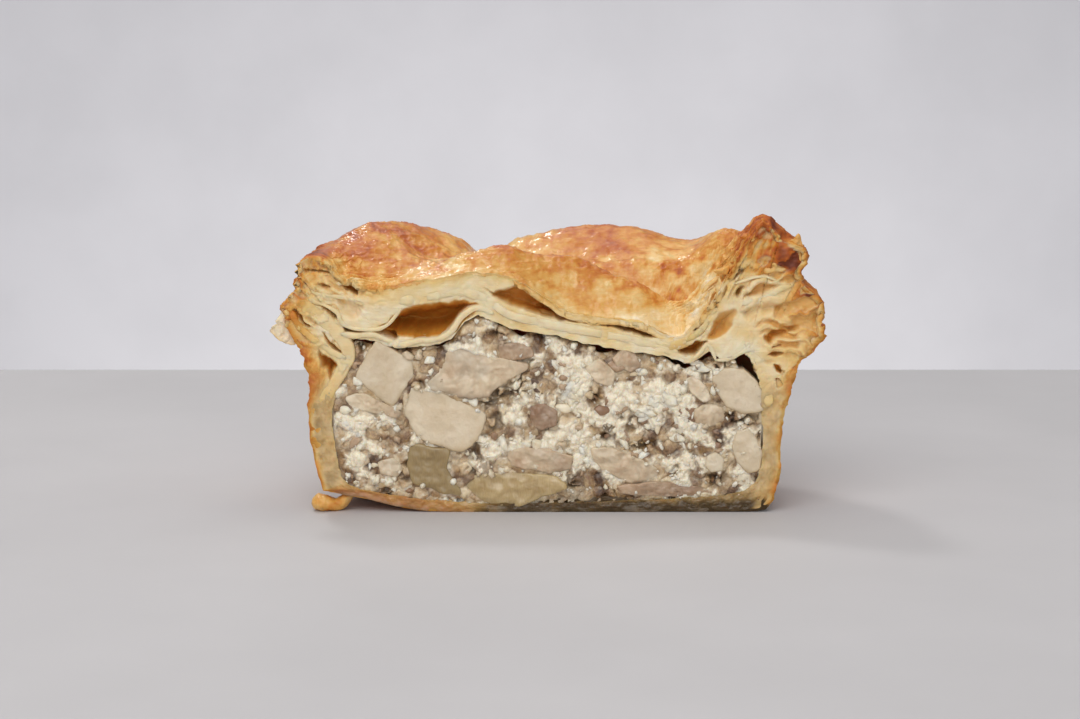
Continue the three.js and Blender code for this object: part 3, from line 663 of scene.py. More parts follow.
def make_piece(name, parts, material, nodes):
    """One object from parts of (points, triangles, values), points as x, d, z in mm."""
    points = np.vstack([p for p, _, _ in parts])
    starts = np.cumsum([0] + [len(p) for p, _, _ in parts])
    faces = np.vstack([f + start for (_, f, _), start in zip(parts, starts)]).astype(np.int32)
    mesh = bpy.data.meshes.new(name)
    mesh.vertices.add(len(points))
    mesh.vertices.foreach_set("co", ((points + (0, CUT_Y, 0)) / MM_PER_M).astype(np.float32).ravel())
    mesh.loops.add(faces.size)
    mesh.loops.foreach_set("vertex_index", faces.ravel())
    mesh.polygons.add(len(faces))
    mesh.polygons.foreach_set("loop_start", np.arange(0, faces.size, 3, dtype=np.int32))
    mesh.update(calc_edges=True)
    mesh.validate()
    for key in sorted(set().union(*(v for _, _, v in parts))):
        column = np.concatenate([np.broadcast_to(v.get(key, 0.0), len(p)) for p, _, v in parts])
        mesh.attributes.new(key, "FLOAT", "POINT").data.foreach_set("value", column.astype(np.float32))
    mesh.shade_smooth()
    mesh.materials.append(material)
    piece = bpy.data.objects.new(name, mesh)
    bpy.context.scene.collection.objects.link(piece)
    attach(piece, "root")
    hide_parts(*nodes)


# ---- shader tools ---------------------------------------------------------------------------
def linear(*rgb):
    """A colour given as 0 to 255 sRGB, as the linear RGBA that shaders take."""
    c = np.array(rgb) / 255
    return (*np.where(c < 0.04045, c / 12.92, ((c + 0.055) / 1.055) ** 2.4), 1.0)


def grey(level):
    """A grey of that linear level."""
    return (level, level, level, 1.0)


class Value:
    """A shader output that takes part in Python sums: each operator adds a Math node."""

    def __init__(self, graph, socket):
        self.graph, self.socket = graph, socket

    def _math(self, operation, first, second):
        return self.graph.node("ShaderNodeMath", {"operation": operation}, {0: first, 1: second})

    def __add__(self, other):
        return self._math("ADD", self, other)

    def __sub__(self, other):
        return self._math("SUBTRACT", self, other)

    def __rsub__(self, other):
        return self._math("SUBTRACT", other, self)

    def __mul__(self, other):
        return self._math("MULTIPLY", self, other)

    __radd__, __rmul__ = __add__, __mul__


class Shader:
    """A material with one Principled shader, whose nodes come from node() and from sums of values."""

    def __init__(self, name):
        self.material = bpy.data.materials.new(name)
        self.material.use_nodes = True
        self.tree = self.material.node_tree
        self.principled = self.tree.nodes["Principled BSDF"]
        self.place = self.node("ShaderNodeTexCoord", output="Object")

    def node(self, kind, settings=None, inputs=None, output=0):
        """Adds a node, sets it, fills or links its inputs and returns one of its outputs."""
        made = self.tree.nodes.new(kind)
        for key, value in (settings or {}).items():
            if key == "stops":
                ramp = made.color_ramp
                while len(ramp.elements) < len(value):
                    ramp.elements.new(1.0)
                for element, (position, colour) in zip(ramp.elements, value):
                    element.position, element.color = position, colour
            else:
                setattr(made, key, value)
        self.fill(made, inputs or {})
        return Value(self, made.outputs[output])

    def fill(self, made, inputs):
        """Sets or links inputs of a node by name or number."""
        for key, value in inputs.items():
            if isinstance(value, Value):
                self.tree.links.new(value.socket, made.inputs[key])
            else:
                made.inputs[key].default_value = value

    def attribute(self, name):
        """A number stored on the mesh's points."""
        return self.node("ShaderNodeAttribute", {"attribute_name": name}, output="Fac")

    def noise(self, size_mm, detail=3.0, rough=0.55, stretch=None):
        """Noise from 0 to 1 with blotches of that size, optionally stretched along the axes."""
        place = self.place
        if stretch:
            place = self.node("ShaderNodeMapping", None, {"Vector": place, "Scale": stretch})
        wanted = {"Vector": place, "Scale": MM_PER_M / size_mm, "Detail": detail, "Roughness": rough}
        return self.node("ShaderNodeTexNoise", None, wanted)

    def ramp(self, factor, *stops):
        """Colours or greys at positions along a factor."""
        return self.node("ShaderNodeValToRGB", {"stops": stops}, {"Fac": factor})

    def blend(self, factor, first, second):
        """The first colour where the factor is 0, the second where it is 1."""
        inputs = {"Factor": factor, 6: first, 7: second}
        return self.node("ShaderNodeMix", {"data_type": "RGBA"}, inputs, output=2)

    def bump(self, height, distance_mm, strength):
        """A bumped normal from a height of 0 to 1."""
        wanted = {"Height": height, "Distance": distance_mm / MM_PER_M, "Strength": strength}
        return self.node("ShaderNodeBump", None, wanted)

    def finish(self, **sockets):
        """Fills the Principled shader and gives back the material."""
        self.fill(self.principled, {key.replace("_", " "): value for key, value in sockets.items()})
        return self.material


def scattering(shader, weight, radius_mm, tint=(1.0, 0.5, 0.25)):
    """Light that soaks into the surface, set on the shader's own sockets."""
    scale = radius_mm / MM_PER_M
    shader.finish(Subsurface_Weight=weight, Subsurface_Scale=scale, Subsurface_Radius=tint)


# Colours of pastry by how far it is baked.
PASTRY_STOPS = (
    (0.0, linear(242, 223, 191)), (0.16, linear(237, 208, 158)), (0.32, linear(230, 190, 122)),
    (0.46, linear(221, 164, 80)), (0.6, linear(205, 130, 42)), (0.76, linear(182, 91, 15)),
    (1.0, linear(114, 45, 5)),
)


def pastry_material(name, glaze=0.0, soak=0.22, mottle=0.16):
    """Baked puff pastry: a colour run from cream to dark brown by the mesh's bake value, blotched; a
    golden-brown painted shade in the pockets and leaf gaps, which also stands in for light glowing through
    thin leaves; olive where it is wet, darkest where that colour paints contact shade at the very bottom;
    fine leaf streaks in its bump."""
    shader = Shader(name)
    bake, deep = shader.attribute("bake"), shader.attribute("deep")
    broad, small = shader.noise(5.0), shader.noise(1.1, detail=4.0)
    streaks = shader.noise(2.4, rough=0.6, stretch=(1.0, 1.0, 5.0))
    level = bake + (broad - 0.5) * mottle * 2 + (small - 0.5) * mottle + (streaks - 0.5) * mottle * 0.8
    colour = shader.ramp(level, *PASTRY_STOPS)
    # Golden-brown painted shade in the pockets and leaf gaps, standing in for their shade and for light
    # glowing through thin leaves.
    hollow = shader.ramp(
        deep + (broad - 0.5) * 0.3, (0.0, linear(228, 198, 150)), (0.4, linear(220, 168, 92)),
        (0.75, linear(204, 132, 44)), (1.0, linear(200, 136, 46)),
    )
    colour = shader.blend(shader.ramp(deep, (0.02, grey(0)), (0.25, grey(1))), colour, hollow)
    # Olive where soaked; its darkest colour, at the very bottom, also paints contact shade by the floor.
    wet = shader.attribute("wet")
    soaked = shader.ramp(
        wet + (broad - 0.5) * 0.3, (0.4, linear(174, 142, 98)), (0.72, linear(138, 109, 58)),
        (0.98, linear(82, 62, 32)),
    )
    colour = shader.blend(shader.ramp(wet, (0.0, grey(0)), (0.9, grey(1))), colour, soaked)
    height = small * 0.5 + streaks * 0.8
    shine = shader.attribute("shine")
    scattering(shader, soak, radius_mm=3.0)
    return shader.finish(
        Base_Color=colour,
        Roughness=0.62 - shine * 0.28 + (small - 0.5) * 0.25,
        Coat_Weight=shine * glaze,
        Coat_Roughness=0.09,
        Normal=shader.bump(height, distance_mm=0.35, strength=0.55),
    )


def potato_material():
    """Boiled potato: pale cream, a trace of grain, moist."""
    shader = Shader("potato_flesh")
    broad, fine = shader.noise(6.0), shader.noise(0.5, detail=4.0)
    level = broad + (fine - 0.5) * 0.25
    stops = (0.3, linear(209, 188, 155)), (0.5, linear(218, 199, 169)), (0.7, linear(228, 212, 185))
    rim = shader.attribute("rim")
    # Darker at its edge and most along its lower side: painted shade.
    colour = shader.blend(rim * 0.7, shader.ramp(level, *stops), linear(196, 168, 126))
    scattering(shader, 0.3, radius_mm=3.0, tint=(1.0, 0.75, 0.5))
    rough, normal = 0.36 + (fine - 0.5) * 0.4, shader.bump(fine, distance_mm=0.15, strength=0.6)
    return shader.finish(Base_Color=colour, Roughness=rough, Coat_Weight=0.2, Normal=normal)


def onion_material():
    """Soft cooked onion: olive-yellow and see-through at the edge, wet."""
    shader = Shader("onion_flesh")
    broad = shader.noise(4.0)
    fibres = shader.noise(1.2, rough=0.6, stretch=(5.0, 1.0, 1.0))
    pale = shader.attribute("pale")
    level = broad * 0.6 + fibres * 0.4
    dull = shader.ramp(level, (0.3, linear(140, 117, 76)), (0.7, linear(174, 150, 106)))
    light = shader.ramp(level, (0.3, linear(166, 138, 90)), (0.7, linear(204, 180, 134)))
    colour = shader.blend(pale, dull, light)
    scattering(shader, 0.4, radius_mm=4.0, tint=(1.0, 0.8, 0.4))
    normal = shader.bump(fibres, distance_mm=0.15, strength=0.4)
    return shader.finish(Base_Color=colour, Roughness=0.3, Coat_Weight=0.3, Normal=normal)


def mushroom_material():
    """Cooked mushroom: beige flesh, greyer in patches and darker along its lower edge, moist."""
    shader = Shader("mushroom_flesh")
    broad, fine = shader.noise(3.5), shader.noise(0.7, detail=4.0)
    tone, rim = shader.attribute("tone"), shader.attribute("rim")
    level = tone + (broad - 0.5) * 0.45 + (fine - 0.5) * 0.2
    colour = shader.ramp(
        level, (0.0, linear(86, 60, 42)), (0.3, linear(146, 112, 84)), (0.55, linear(187, 156, 124)),
        (0.8, linear(214, 192, 160)), (1.0, linear(230, 214, 186)),
    )
    dull = shader.ramp(shader.noise(7.0), (0.45, grey(0)), (0.62, grey(0.3)))
    colour = shader.blend(dull, colour, linear(150, 138, 124))
    colour = shader.blend(rim * 0.55, colour, linear(112, 86, 64))
    scattering(shader, 0.22, radius_mm=2.0, tint=(1.0, 0.6, 0.4))
    normal = shader.bump(fine, distance_mm=0.2, strength=0.5)
    return shader.finish(Base_Color=colour, Roughness=0.38, Coat_Weight=0.15, Normal=normal)


def curd_material():
    """White cheese curd, moist, a creamier colour at its edge and most along its lower side: painted shade.
    """
    shader = Shader("cheese_curd")
    fine = shader.noise(0.6, detail=4.0)
    tone = shader.attribute("tone")
    level = tone + (fine - 0.5) * 0.3
    stops = (0.0, linear(204, 176, 138)), (0.4, linear(238, 219, 188)), (0.8, linear(253, 241, 217))
    rim = shader.attribute("rim")
    # Creamier at its edge and most along its lower side: painted shade.
    colour = shader.blend(rim * 0.6, shader.ramp(level, *stops), linear(214, 190, 154))
    scattering(shader, 0.5, radius_mm=1.8, tint=(1.0, 0.8, 0.6))
    normal = shader.bump(fine, distance_mm=0.2, strength=0.5)
    return shader.finish(Base_Color=colour, Roughness=0.42, Normal=normal)


def filling_material():
    """The crumbly mass: white curd where the mesh says so, else mushroom from grey-brown over ochre to
    cream, dark in its creases and hollows as painted shade, wet."""
    shader = Shader("filling_mass")
    broad, fine = shader.noise(1.6, detail=4.0), shader.noise(0.4, detail=4.0)
    tone, white, deep = (shader.attribute(key) for key in ("tone", "white", "deep"))
    level = tone * 1.35 - 0.2 + (broad - 0.5) * 0.8 + (fine - 0.5) * 0.3
    brown = shader.ramp(
        level, (0.0, linear(80, 54, 34)), (0.3, linear(142, 110, 78)), (0.6, linear(196, 168, 130)),
        (0.95, linear(230, 210, 176)),
    )
    patches = shader.noise(4.0)
    dull = shader.ramp(patches, (0.52, grey(0)), (0.64, grey(0.55)))
    ochre = shader.ramp(patches, (0.34, grey(0.5)), (0.42, grey(0)))
    brown = shader.blend(dull, brown, linear(138, 118, 96))
    brown = shader.blend(ochre, brown, linear(186, 148, 92))
    curd = shader.ramp(fine, (0.2, linear(232, 211, 178)), (0.6, linear(252, 240, 215)))
    colour = shader.blend(white, brown, curd)
    # Painted shade: a dark colour in creases, in hollows and along the edges of the white.
    dark = shader.blend(shader.noise(3.0), linear(52, 34, 20), linear(84, 68, 46))
    colour = shader.blend(deep * 0.85, colour, dark)
    scattering(shader, 0.45, radius_mm=1.8, tint=(1.0, 0.75, 0.5))
    return shader.finish(
        Base_Color=colour,
        Roughness=0.38 - (broad - 0.5) * 0.5,
        Coat_Weight=0.3,
        Coat_Roughness=0.15,
        Normal=shader.bump(fine, distance_mm=0.3, strength=0.7),
    )


def stage_material(name, rgb):
    """Matt paint with faint clouds."""
    shader = Shader(name)
    cloud = shader.noise(90.0, detail=4.0)
    low, high = (linear(*(255 * c * k for c in rgb)) for k in (0.985, 1.015))
    return shader.finish(Base_Color=shader.ramp(cloud, (0.35, low), (0.65, high)), Roughness=0.75)


# ---- pastry shapes --------------------------------------------------------------------------
def case_surface(t, azimuth, sizes):
    """The case's outside, from the base's middle to the rim's tip: each section point is the mix of the
    two ends' stations, pushed in and out by blisters and crumbs and, higher up, by flaky wrinkles. The
    base is raised at the left of the cut."""
    section = round_the_back(CASE_OUTER, t, azimuth)
    r, z = section[..., 0], section[..., 1]
    wall = ease(t, 0.3, 0.42)
    flat = np.stack([azimuth * WALL_RADIUS, z * 1.8, r * 0], -1)
    blister = 0.6 * layered(flat, 8, 3) + 0.45 * (ridged(flat, 3.6, 5) - 0.4)
    flaky = 0.9 * ease(z, 18, 33) * (ridged(flat * (1, 1.5, 1), 4, 9) - 0.35)
    crumbs = 0.35 * (ridged(flat, 1.5, 80) - 0.4) * ease(z, 8, 28)
    r = r + wall * sizes.crags * MM_PER_M * (blister + flaky + crumbs)
    under = on_circle(r, azimuth, 0 * z)
    z = z + 0.7 * ease(t, 0.02, 0.2) * (1 - wall) * np.clip(0.3 + noise(under, 9, 4), 0, 1)
    raised = 2.6 * ease(-under[..., 0], 22, 42) * np.exp(-((under[..., 1] / 8) ** 2)) * ease(5 - z, 0, 4)
    return on_circle(r, azimuth, z + raised)


def case_shell(sizes):
    """The case swept round the back: its outside, and the inner stations behind it."""
    t = np.linspace(0, 1, 118)[:, None]
    w = np.linspace(0, 1, 250)[None, :]
    t, azimuth = np.broadcast_arrays(t, sweep(w))
    outside = case_surface(t, azimuth, sizes)
    section = round_the_back(CASE_INNER, t, azimuth)
    inside = on_circle(section[..., 0], azimuth, section[..., 1])
    inside[..., 1] = np.maximum(inside[..., 1], 1.2)
    flat = np.stack([azimuth * WALL_RADIUS, outside[..., 2] * 1.6, azimuth * 0], -1)
    bake = 0.56 + 0.16 * layered(flat, 7, 12) + 0.12 * ease(t, 0.75, 1) + 0.14 * (ridged(flat, 5, 7) - 0.5)
    x, d, z = (outside[..., k] for k in range(3))
    # Darker along the bottom near the cut: soaked pastry, with painted contact shade by the floor.
    wet = ease(2.4 - z, 0, 1.6) * ease(x, -26, -8) * np.exp(-((d / 14) ** 2))
    return [closed_sheet(outside, inside, bake=np.stack([bake, bake * 0 + 0.2]), wet=wet, shine=0.25)]


def foot():
    """The crisp foot at the left: dough that ran out under the case, as rings round a path that lies on
    the floor and rises to the corner, waved, crumbled and pressed flat below."""
    share = np.linspace(0, 1, 60)[:, None]
    turn = np.linspace(0, 2 * HALF_TURN, 40, endpoint=False)[None, :]
    path = spline(FOOT_PATH, share[:, 0])
    reach = np.interp(share, *FOOT_REACH)
    x = path[:, :1] + 0.35 * reach * np.cos(turn + 1)
    d = 2.1 + 1.5 * reach * np.cos(turn) + 0 * x
    z = path[:, 1:] + reach * np.sin(turn)
    p = np.stack([x, d, z], -1)
    grow = 0.35 * layered(p, 2.2, 31) + 0.25 * (ridged(p, 1.0, 33) - 0.4)
    p[..., 1] += grow * np.cos(turn)
    p[..., 2] = np.maximum(p[..., 2] + grow * np.sin(turn), 0.02)
    return [closed_rings(p, bake=0.44 + 0.14 * layered(p, 2, 32) + 0.1 * grow, shine=0.4)]


def edge_depth(x, z):
    """How far the outer edge of the cut stands before or behind the knife's plane."""
    return 0.35 * (layered(np.stack(np.broadcast_arrays(x, z), -1), 2.5, 49) + 0.2)


def torn(x, d):
    """How torn the lid's top is at a place, 0 smooth to 1 in loose leaves: at both corners of the cut,
    and in patches only at the left one."""
    patches = ease(noise(np.stack([x, d], -1), 5, 41), -0.8, 0.1)
    left = 0.85 * ease(-x, 25, 33) * np.exp(-((d / 6.5) ** 2)) * patches
    right = ease(x + 0.5 * np.clip(d, 0, 16), 25, 34) * np.exp(-((d / 17) ** 2))
    return np.clip(left + right, 0, 1)


def top_surface(x, d, sizes):
    """The lid's top at a place: the lobes' height with wrinkles on the domes, and where it is torn,
    leaf edges that follow slanted height lines, each jutting out to the front above one of the grooves.
    Gives the points and how much darker than the rest each place is: painted shade in the grooves under the
    leaf edges, and each leaf's own tint."""
    place = np.stack([x, d, lid_top(x, d)], -1)
    loose = torn(x, d)
    wrinkles = 0.45 * layered(place, 6, 46) + 0.3 * (ridged(place * (1, 1.3, 1), 5, 47) - 0.4)
    wrinkles = wrinkles + 0.45 * (ridged(place * (0.8, 1.2, 1), 1.9, 48) - 0.4)
    wrinkles = wrinkles + 0.12 * noise(place, 0.8, 57)
    z = lid_top(x, d) + (1 - 0.6 * loose) * wrinkles * ease(np.hypot(x, d), 0, 3)
    ragged = 0.7 * layered(place, 3.0, 44) + 0.9 * (ridged(place * (1, 0.5, 1), 1.5, 45) - 0.45)
    z = z + loose * ragged
    slant = np.where(x > 0, 0.95 * (x - 35), -0.12 * (x + 38))
    level = z - slant + 1.8 * layered(place * (0.35, 1, 1), 4, 42) + 0.5 * layered(place, 1.6, 58)
    level = level / (1.7 + 0.35 * noise(place * (0.2, 0.5, 1), 5, 43))
    part = level - np.floor(level)
    tint = noise(np.stack([np.floor(level) * 3.3, x * 0.25, d * 0.3], -1), 1.0, 59)
    # Painted shade in the grooves under the jutting leaf edges.
    groove_shade_and_tint = np.clip(1 - part / 0.35, 0, 1) * ease(part, -0.02, 0.04)
    jut = np.where(part < 0.86, part**1.5, (1 - part) / 0.14) * (0.75 + 0.5 * noise(place, 2, 50))
    out = sizes.crags * MM_PER_M * loose * (1.3 * jut + 0.5 * ridged(place, 1.5, 78))
    d = d - out + np.exp(-np.maximum(d, 0) / 1.2) * edge_depth(x, z)
    return np.stack([x, d, z], -1), (groove_shade_and_tint + 0.9 * tint) * loose


def crust_bake(p, groove_shade_and_tint):
    """Browning and shine of the lid's top. It is browner on high ground, towards the left, at the right
    corner and along the fold's crest, darker in grooves as painted shade and with each torn leaf's own
    tint, and mottled in blotches. It is paler at the cut's edge, in the crease behind the fold, at both
    ends of the fold and where the right corner is torn."""
    x, z = p[..., 0], p[..., 2]
    near = np.maximum(p[..., 1], 0)
    loose = torn(x, near)
    fold = np.exp(-(((x - 4) / 24) ** 4)) * np.exp(-((near / 8) ** 2))
    crest = np.exp(-(((x - 10) / 16) ** 4) - ((near - 8 + 0.06 * x) / 1.8) ** 2)
    crease = bell(x, near - 0.1 * x, 24, 11, 15, 2.8)
    bowl = bell(x, near, 25, 14, 9, 8)
    corner = bell(x, near, 45, 0, 6, 9)
    tail = bell(x, near, 19, 1, 11, 5.5)
    heel = bell(x, near, -19, 2, 9, 5) * ease(layered(p, 4, 84), -0.9, 0.2)
    pale = bell(x, z, 33, 44.5, 4.5, 4.5) * ease(layered(p, 2.4, 56), -0.5, 0.3)
    high = lid_top(x, near) - LID_LEVEL
    bake = 0.52 + 0.01 * high + 0.15 * layered(p, 8, 52) + 0.26 * (ridged(p, 3.5, 53) - 0.5)
    bake = bake + 0.08 * ease(-x, 5, 25) - 0.13 * fold * ease(3.5 - near, -1, 3.5) + 0.09 * fold
    # Darker in grooves: painted shade, with each torn leaf's own tint.
    bake = bake + loose * (-0.06 - 0.14 * layered(p, 1.6, 54)) + 0.22 * groove_shade_and_tint - 0.3 * pale
    bake = bake + 0.12 * corner - 0.2 * loose * ease(-x, 20, 30)
    bake = bake + bowl * (0.16 + 0.3 * layered(p, 2.5, 79)) - 0.14 * crease + 0.1 * crest
    bake = bake - 0.27 * tail - 0.26 * heel
    shine = np.clip((1 - loose) * (0.6 + 0.4 * layered(p, 7, 55)), 0, 1)
    return bake, shine * (1 - 0.5 * crease)


def crust_surface(t, azimuth, sizes):
    """The lid's outside: up the rim's side with flaky ledges, from a hem that droops here and there, then
    over the top to the axis. Gives the points, how far each is on the side, and the top's darkening:
    painted shade in grooves and the torn leaves' own tint."""
    side_share = 0.3
    s = np.clip(t / side_share, 0, 1)
    section = round_the_back(RIM_SIDE, s, azimuth, spline)
    tip, crest = (round_the_back(RIM_SIDE, k + 0 * s, azimuth, spline) for k in (0.0, 1.0))
    wave = np.sin(azimuth) * (0.9 * np.sin(5 * azimuth + 0.6) + 0.6 * np.sin(11 * azimuth + 2))
    inward = np.clip((t - side_share) / (1 - side_share), 0, 1)
    r = np.where(t < side_share, section[..., 0], crest[..., 0] * (1 - inward)) + wave * (1 - inward)
    top_r = crest[..., 0] + wave
    top = top_surface(top_r * np.cos(azimuth), top_r * np.sin(azimuth), sizes)[0][..., 2]
    share = (section[..., 1] - tip[..., 1]) / (crest[..., 1] - tip[..., 1])
    hem = layered(np.stack([azimuth * RIM_RADIUS, 0 * azimuth], -1), 6, 77)
    z = mix(tip[..., 1] + 0.6 * wave - 1.1 * np.clip(hem + 0.25, 0, 1), top, share)
    flat = np.stack([azimuth * RIM_RADIUS, z * 2.4, 0 * z], -1)
    ledges = terraced(1.6 * layered(flat * (0.7, 1, 1), 7, 41), 0.7) + 1.3 * (ridged(flat, 4, 43) - 0.5)
    ledges = ledges + 0.5 * (ridged(flat, 1.5, 80) - 0.4)
    on_side = 1 - ease(t, side_share * 0.9, side_share * 1.1)
    r = r + sizes.crags * MM_PER_M * ledges * on_side * ease(t, 0, 0.03)
    x, d = r * np.cos(azimuth), r * np.sin(azimuth)
    over, groove_shade_and_tint = top_surface(x, d, sizes)
    d = d + np.exp(-np.maximum(d, 0) / 1.2) * edge_depth(x, z)
    side = np.stack([x, d, z], -1)
    return mix(over, side, on_side[..., None]), on_side, groove_shade_and_tint * (1 - on_side)


def lid_crust(sizes):
    """The lid's baked skin: the outer surface, kept just under the finer strip along the cut, and the
    same grid moved inwards by the crust's thickness."""
    t = np.linspace(0, 1, 150)[:, None]
    w = np.linspace(0, 1, 300)[None, :]
    t, azimuth = np.broadcast_arrays(t, sweep(w))
    p, on_side, groove_shade_and_tint = crust_surface(t, azimuth, sizes)
    x, d = p[..., 0], np.maximum(p[..., 1], 0)
    p[..., 2] -= 0.35 * ease(STRIP_DEPTH - d, 0.5, 2.5) * ease(STRIP_RADIUS - 1.6 - np.hypot(x, d), 0, 1)
    normal = np.cross(np.gradient(p, axis=0), np.gradient(p, axis=1))
    normal[-1] = normal[-2].mean(0)
    normal /= np.maximum(np.linalg.norm(normal, axis=-1, keepdims=True), 1e-6)
    away = mix(np.array((0, 0, 1)), np.stack([x, d, 0 * t], -1) / 45, on_side[..., None])
    normal = np.where(np.sum(normal * away, axis=-1, keepdims=True) < 0, -normal, normal)
    inside = p - normal * (sizes.crust * MM_PER_M * (1 + 0.3 * noise(p, 5, 51))[..., None])
    inside[..., 1] = np.maximum(inside[..., 1], 0.02)
    bake, shine = crust_bake(p, groove_shade_and_tint)
    bake = np.stack([bake + 0.12 * on_side, 0 * bake + 0.3])
    shine = np.stack([shine * (1 - on_side), 0 * shine])
    return [closed_sheet(p, inside, bake=bake, shine=shine)]


def crust_strip(sizes):
    """The lid's top along the cut in a finer grid: across it, and back from the cut in growing steps. Its
    other edges dive under the coarser crust."""
    u = np.linspace(-1, 1, 560)[:, None]
    w = np.linspace(0, 1, 121)[None, :]
    d = STRIP_DEPTH * mix(w, w**2, 0.35) + 0 * u
    x = u * np.sqrt(STRIP_RADIUS**2 - d**2)
    p, groove_shade_and_tint = top_surface(x, d, sizes)
    bake, shine = crust_bake(p, groove_shade_and_tint)
    outer = ease(np.hypot(x, d), STRIP_RADIUS - 1.6, STRIP_RADIUS)
    p[..., 2] -= 0.7 * np.maximum(outer, ease(d, STRIP_DEPTH - 1.2, STRIP_DEPTH))
    return [relief(p, step=5, axis=2, gap=-0.6, bake=bake, shine=shine)]


def leaf(path, thickness, depth, setback, start_bake, end_bake, seed):
    """A leaf of pastry: a smooth path in the cut plane carried back into the pie. Going back it draws
    in with the round of the rim, rises with the lid's top and waves; its front edge is ragged."""
    length = np.sum(np.linalg.norm(np.diff(np.array(path), axis=0), axis=1))
    rows = int(np.clip(length / 0.45, 14, 110))
    s = np.linspace(0, 1, rows)[:, None]
    t = np.linspace(0, 1, 12)[None, :] ** 1.6
    line = spline(path, s[:, 0])
    run = np.gradient(line, axis=0)
    run /= np.linalg.norm(run, axis=1, keepdims=True)
    edge = np.stack([s[:, 0] * length, np.full(rows, seed * 3.0)], -1)
    ragged = 0.38 * layered(edge, 2.4, seed) + 0.2 * noise(edge, 0.9, seed + 1)
    d = setback + np.maximum(ragged, -0.5)[:, None] + t * depth
    x = line[:, :1] + 0 * d
    z = line[:, 1:] + 0 * d
    draw = np.sqrt(np.clip(1 - (np.maximum(d, 0) / LEAF_RADIUS) ** 2, 0.2, 1))
    floor, roof = underside(x), lid_top(x, 0 * d)
    share = np.clip((z - floor) / np.maximum(roof - floor, 1), 0, 0.9)
    lift = np.clip(lid_top(x * draw, np.maximum(d, 0)) - roof, -1, 6)
    wavy = np.stack([x, d, z], -1)
    z = z + share * lift * 0.9 + np.minimum(t * depth, 4) * 0.09 * layered(wavy, 5, seed + 2)
    middle = np.stack([x * draw, d, z], -1)
    bumps = 1 + 0.3 * layered(wavy, 2.6, seed + 3)
    ends = 0.45 + 0.55 * ease(np.minimum(s, 1 - s) * length, 0, 1.2)
    half = 0.5 * thickness * bumps * ends * (0.72 + 0.28 * ease(t, 0, 0.04))
    across = np.stack([-run[:, 1:] + 0 * d, 0 * d, run[:, :1] + 0 * d], -1)
    bake = browning(middle) + mix(start_bake, end_bake, s)
    # Golden-brown painted shade that grows with the depth behind the cut.
    deep = 0.8 * ease(d, 0.8, 7) * ease(thickness, 0.2, 0.9)
    up = middle + across * half[..., None]
    down = middle - across * half[..., None]
    return closed_sheet(up, down, bake=bake, deep=deep)


def lid_leaves(sizes):
    """All the named leaves."""
    return [
        leaf(path, thickness * sizes.leaf, depth, setback, start, end, seed=60 + k * 5)
        for k, (path, thickness, depth, setback, start, end) in enumerate(LEAVES.values())
    ]


def inside_distance(x, z, outline):
    """How far places lie inside a closed outline, negative outside: the distance to its nearest edge."""
    ring = np.array(outline, float)
    nearest, crossings = np.full(x.shape, 1e9), np.zeros(x.shape, int)
    for (x0, z0), (x1, z1) in zip(ring, np.roll(ring, -1, axis=0)):
        along = ((x - x0) * (x1 - x0) + (z - z0) * (z1 - z0)) / ((x1 - x0) ** 2 + (z1 - z0) ** 2)
        along = np.clip(along, 0, 1)
        nearest = np.minimum(nearest, np.hypot(x - mix(x0, x1, along), z - mix(z0, z1, along)))
        if z1 != z0:
            crossings += ((z0 > z) != (z1 > z)) & (x < x0 + (z - z0) * (x1 - x0) / (z1 - z0))
    return np.where(crossings % 2 == 1, nearest, -nearest)


def pocket_relief(x, z):
    """Depth of the air pockets at places in the cut and the golden-brown painted shade on their floors,
    both stronger towards the lower side, their outlines frayed by noise.
    """
    place = np.stack([x, z], -1)
    warp_x = x + 0.32 * noise(place, 1.3, 61) + 0.14 * noise(place, 0.6, 62)
    warp_z = z + 0.26 * noise(place, 1.5, 63) + 0.12 * noise(place, 0.6, 64)
    depth, pocket_shade = 0 * x, 0 * x
    for outline, reach, colour, slope in POCKETS.values():
        ring = spline(outline, np.linspace(0, 1, 28, endpoint=False), closed=True)
        low, high = ring.min(0) - 1, ring.max(0) + 1
        near = (warp_x > low[0]) & (warp_x < high[0]) & (warp_z > low[1]) & (warp_z < high[1])
        inside = inside_distance(warp_x[near], warp_z[near], ring)
        share = ease(inside, -0.1, slope)
        down = ease(high[1] - 1 - warp_z[near], -0.3, 0.9 * (high[1] - low[1] - 2))
        depth[near] = np.maximum(depth[near], reach * share * mix(0.45, 1, down))
        # Painted shade on the pocket's floor, strongest low in the pocket.
        here = colour * ease(inside, 0, min(slope, 0.8)) * mix(0.7, 1, down)
        pocket_shade[near] = np.maximum(pocket_shade[near], here)
    return depth, pocket_shade


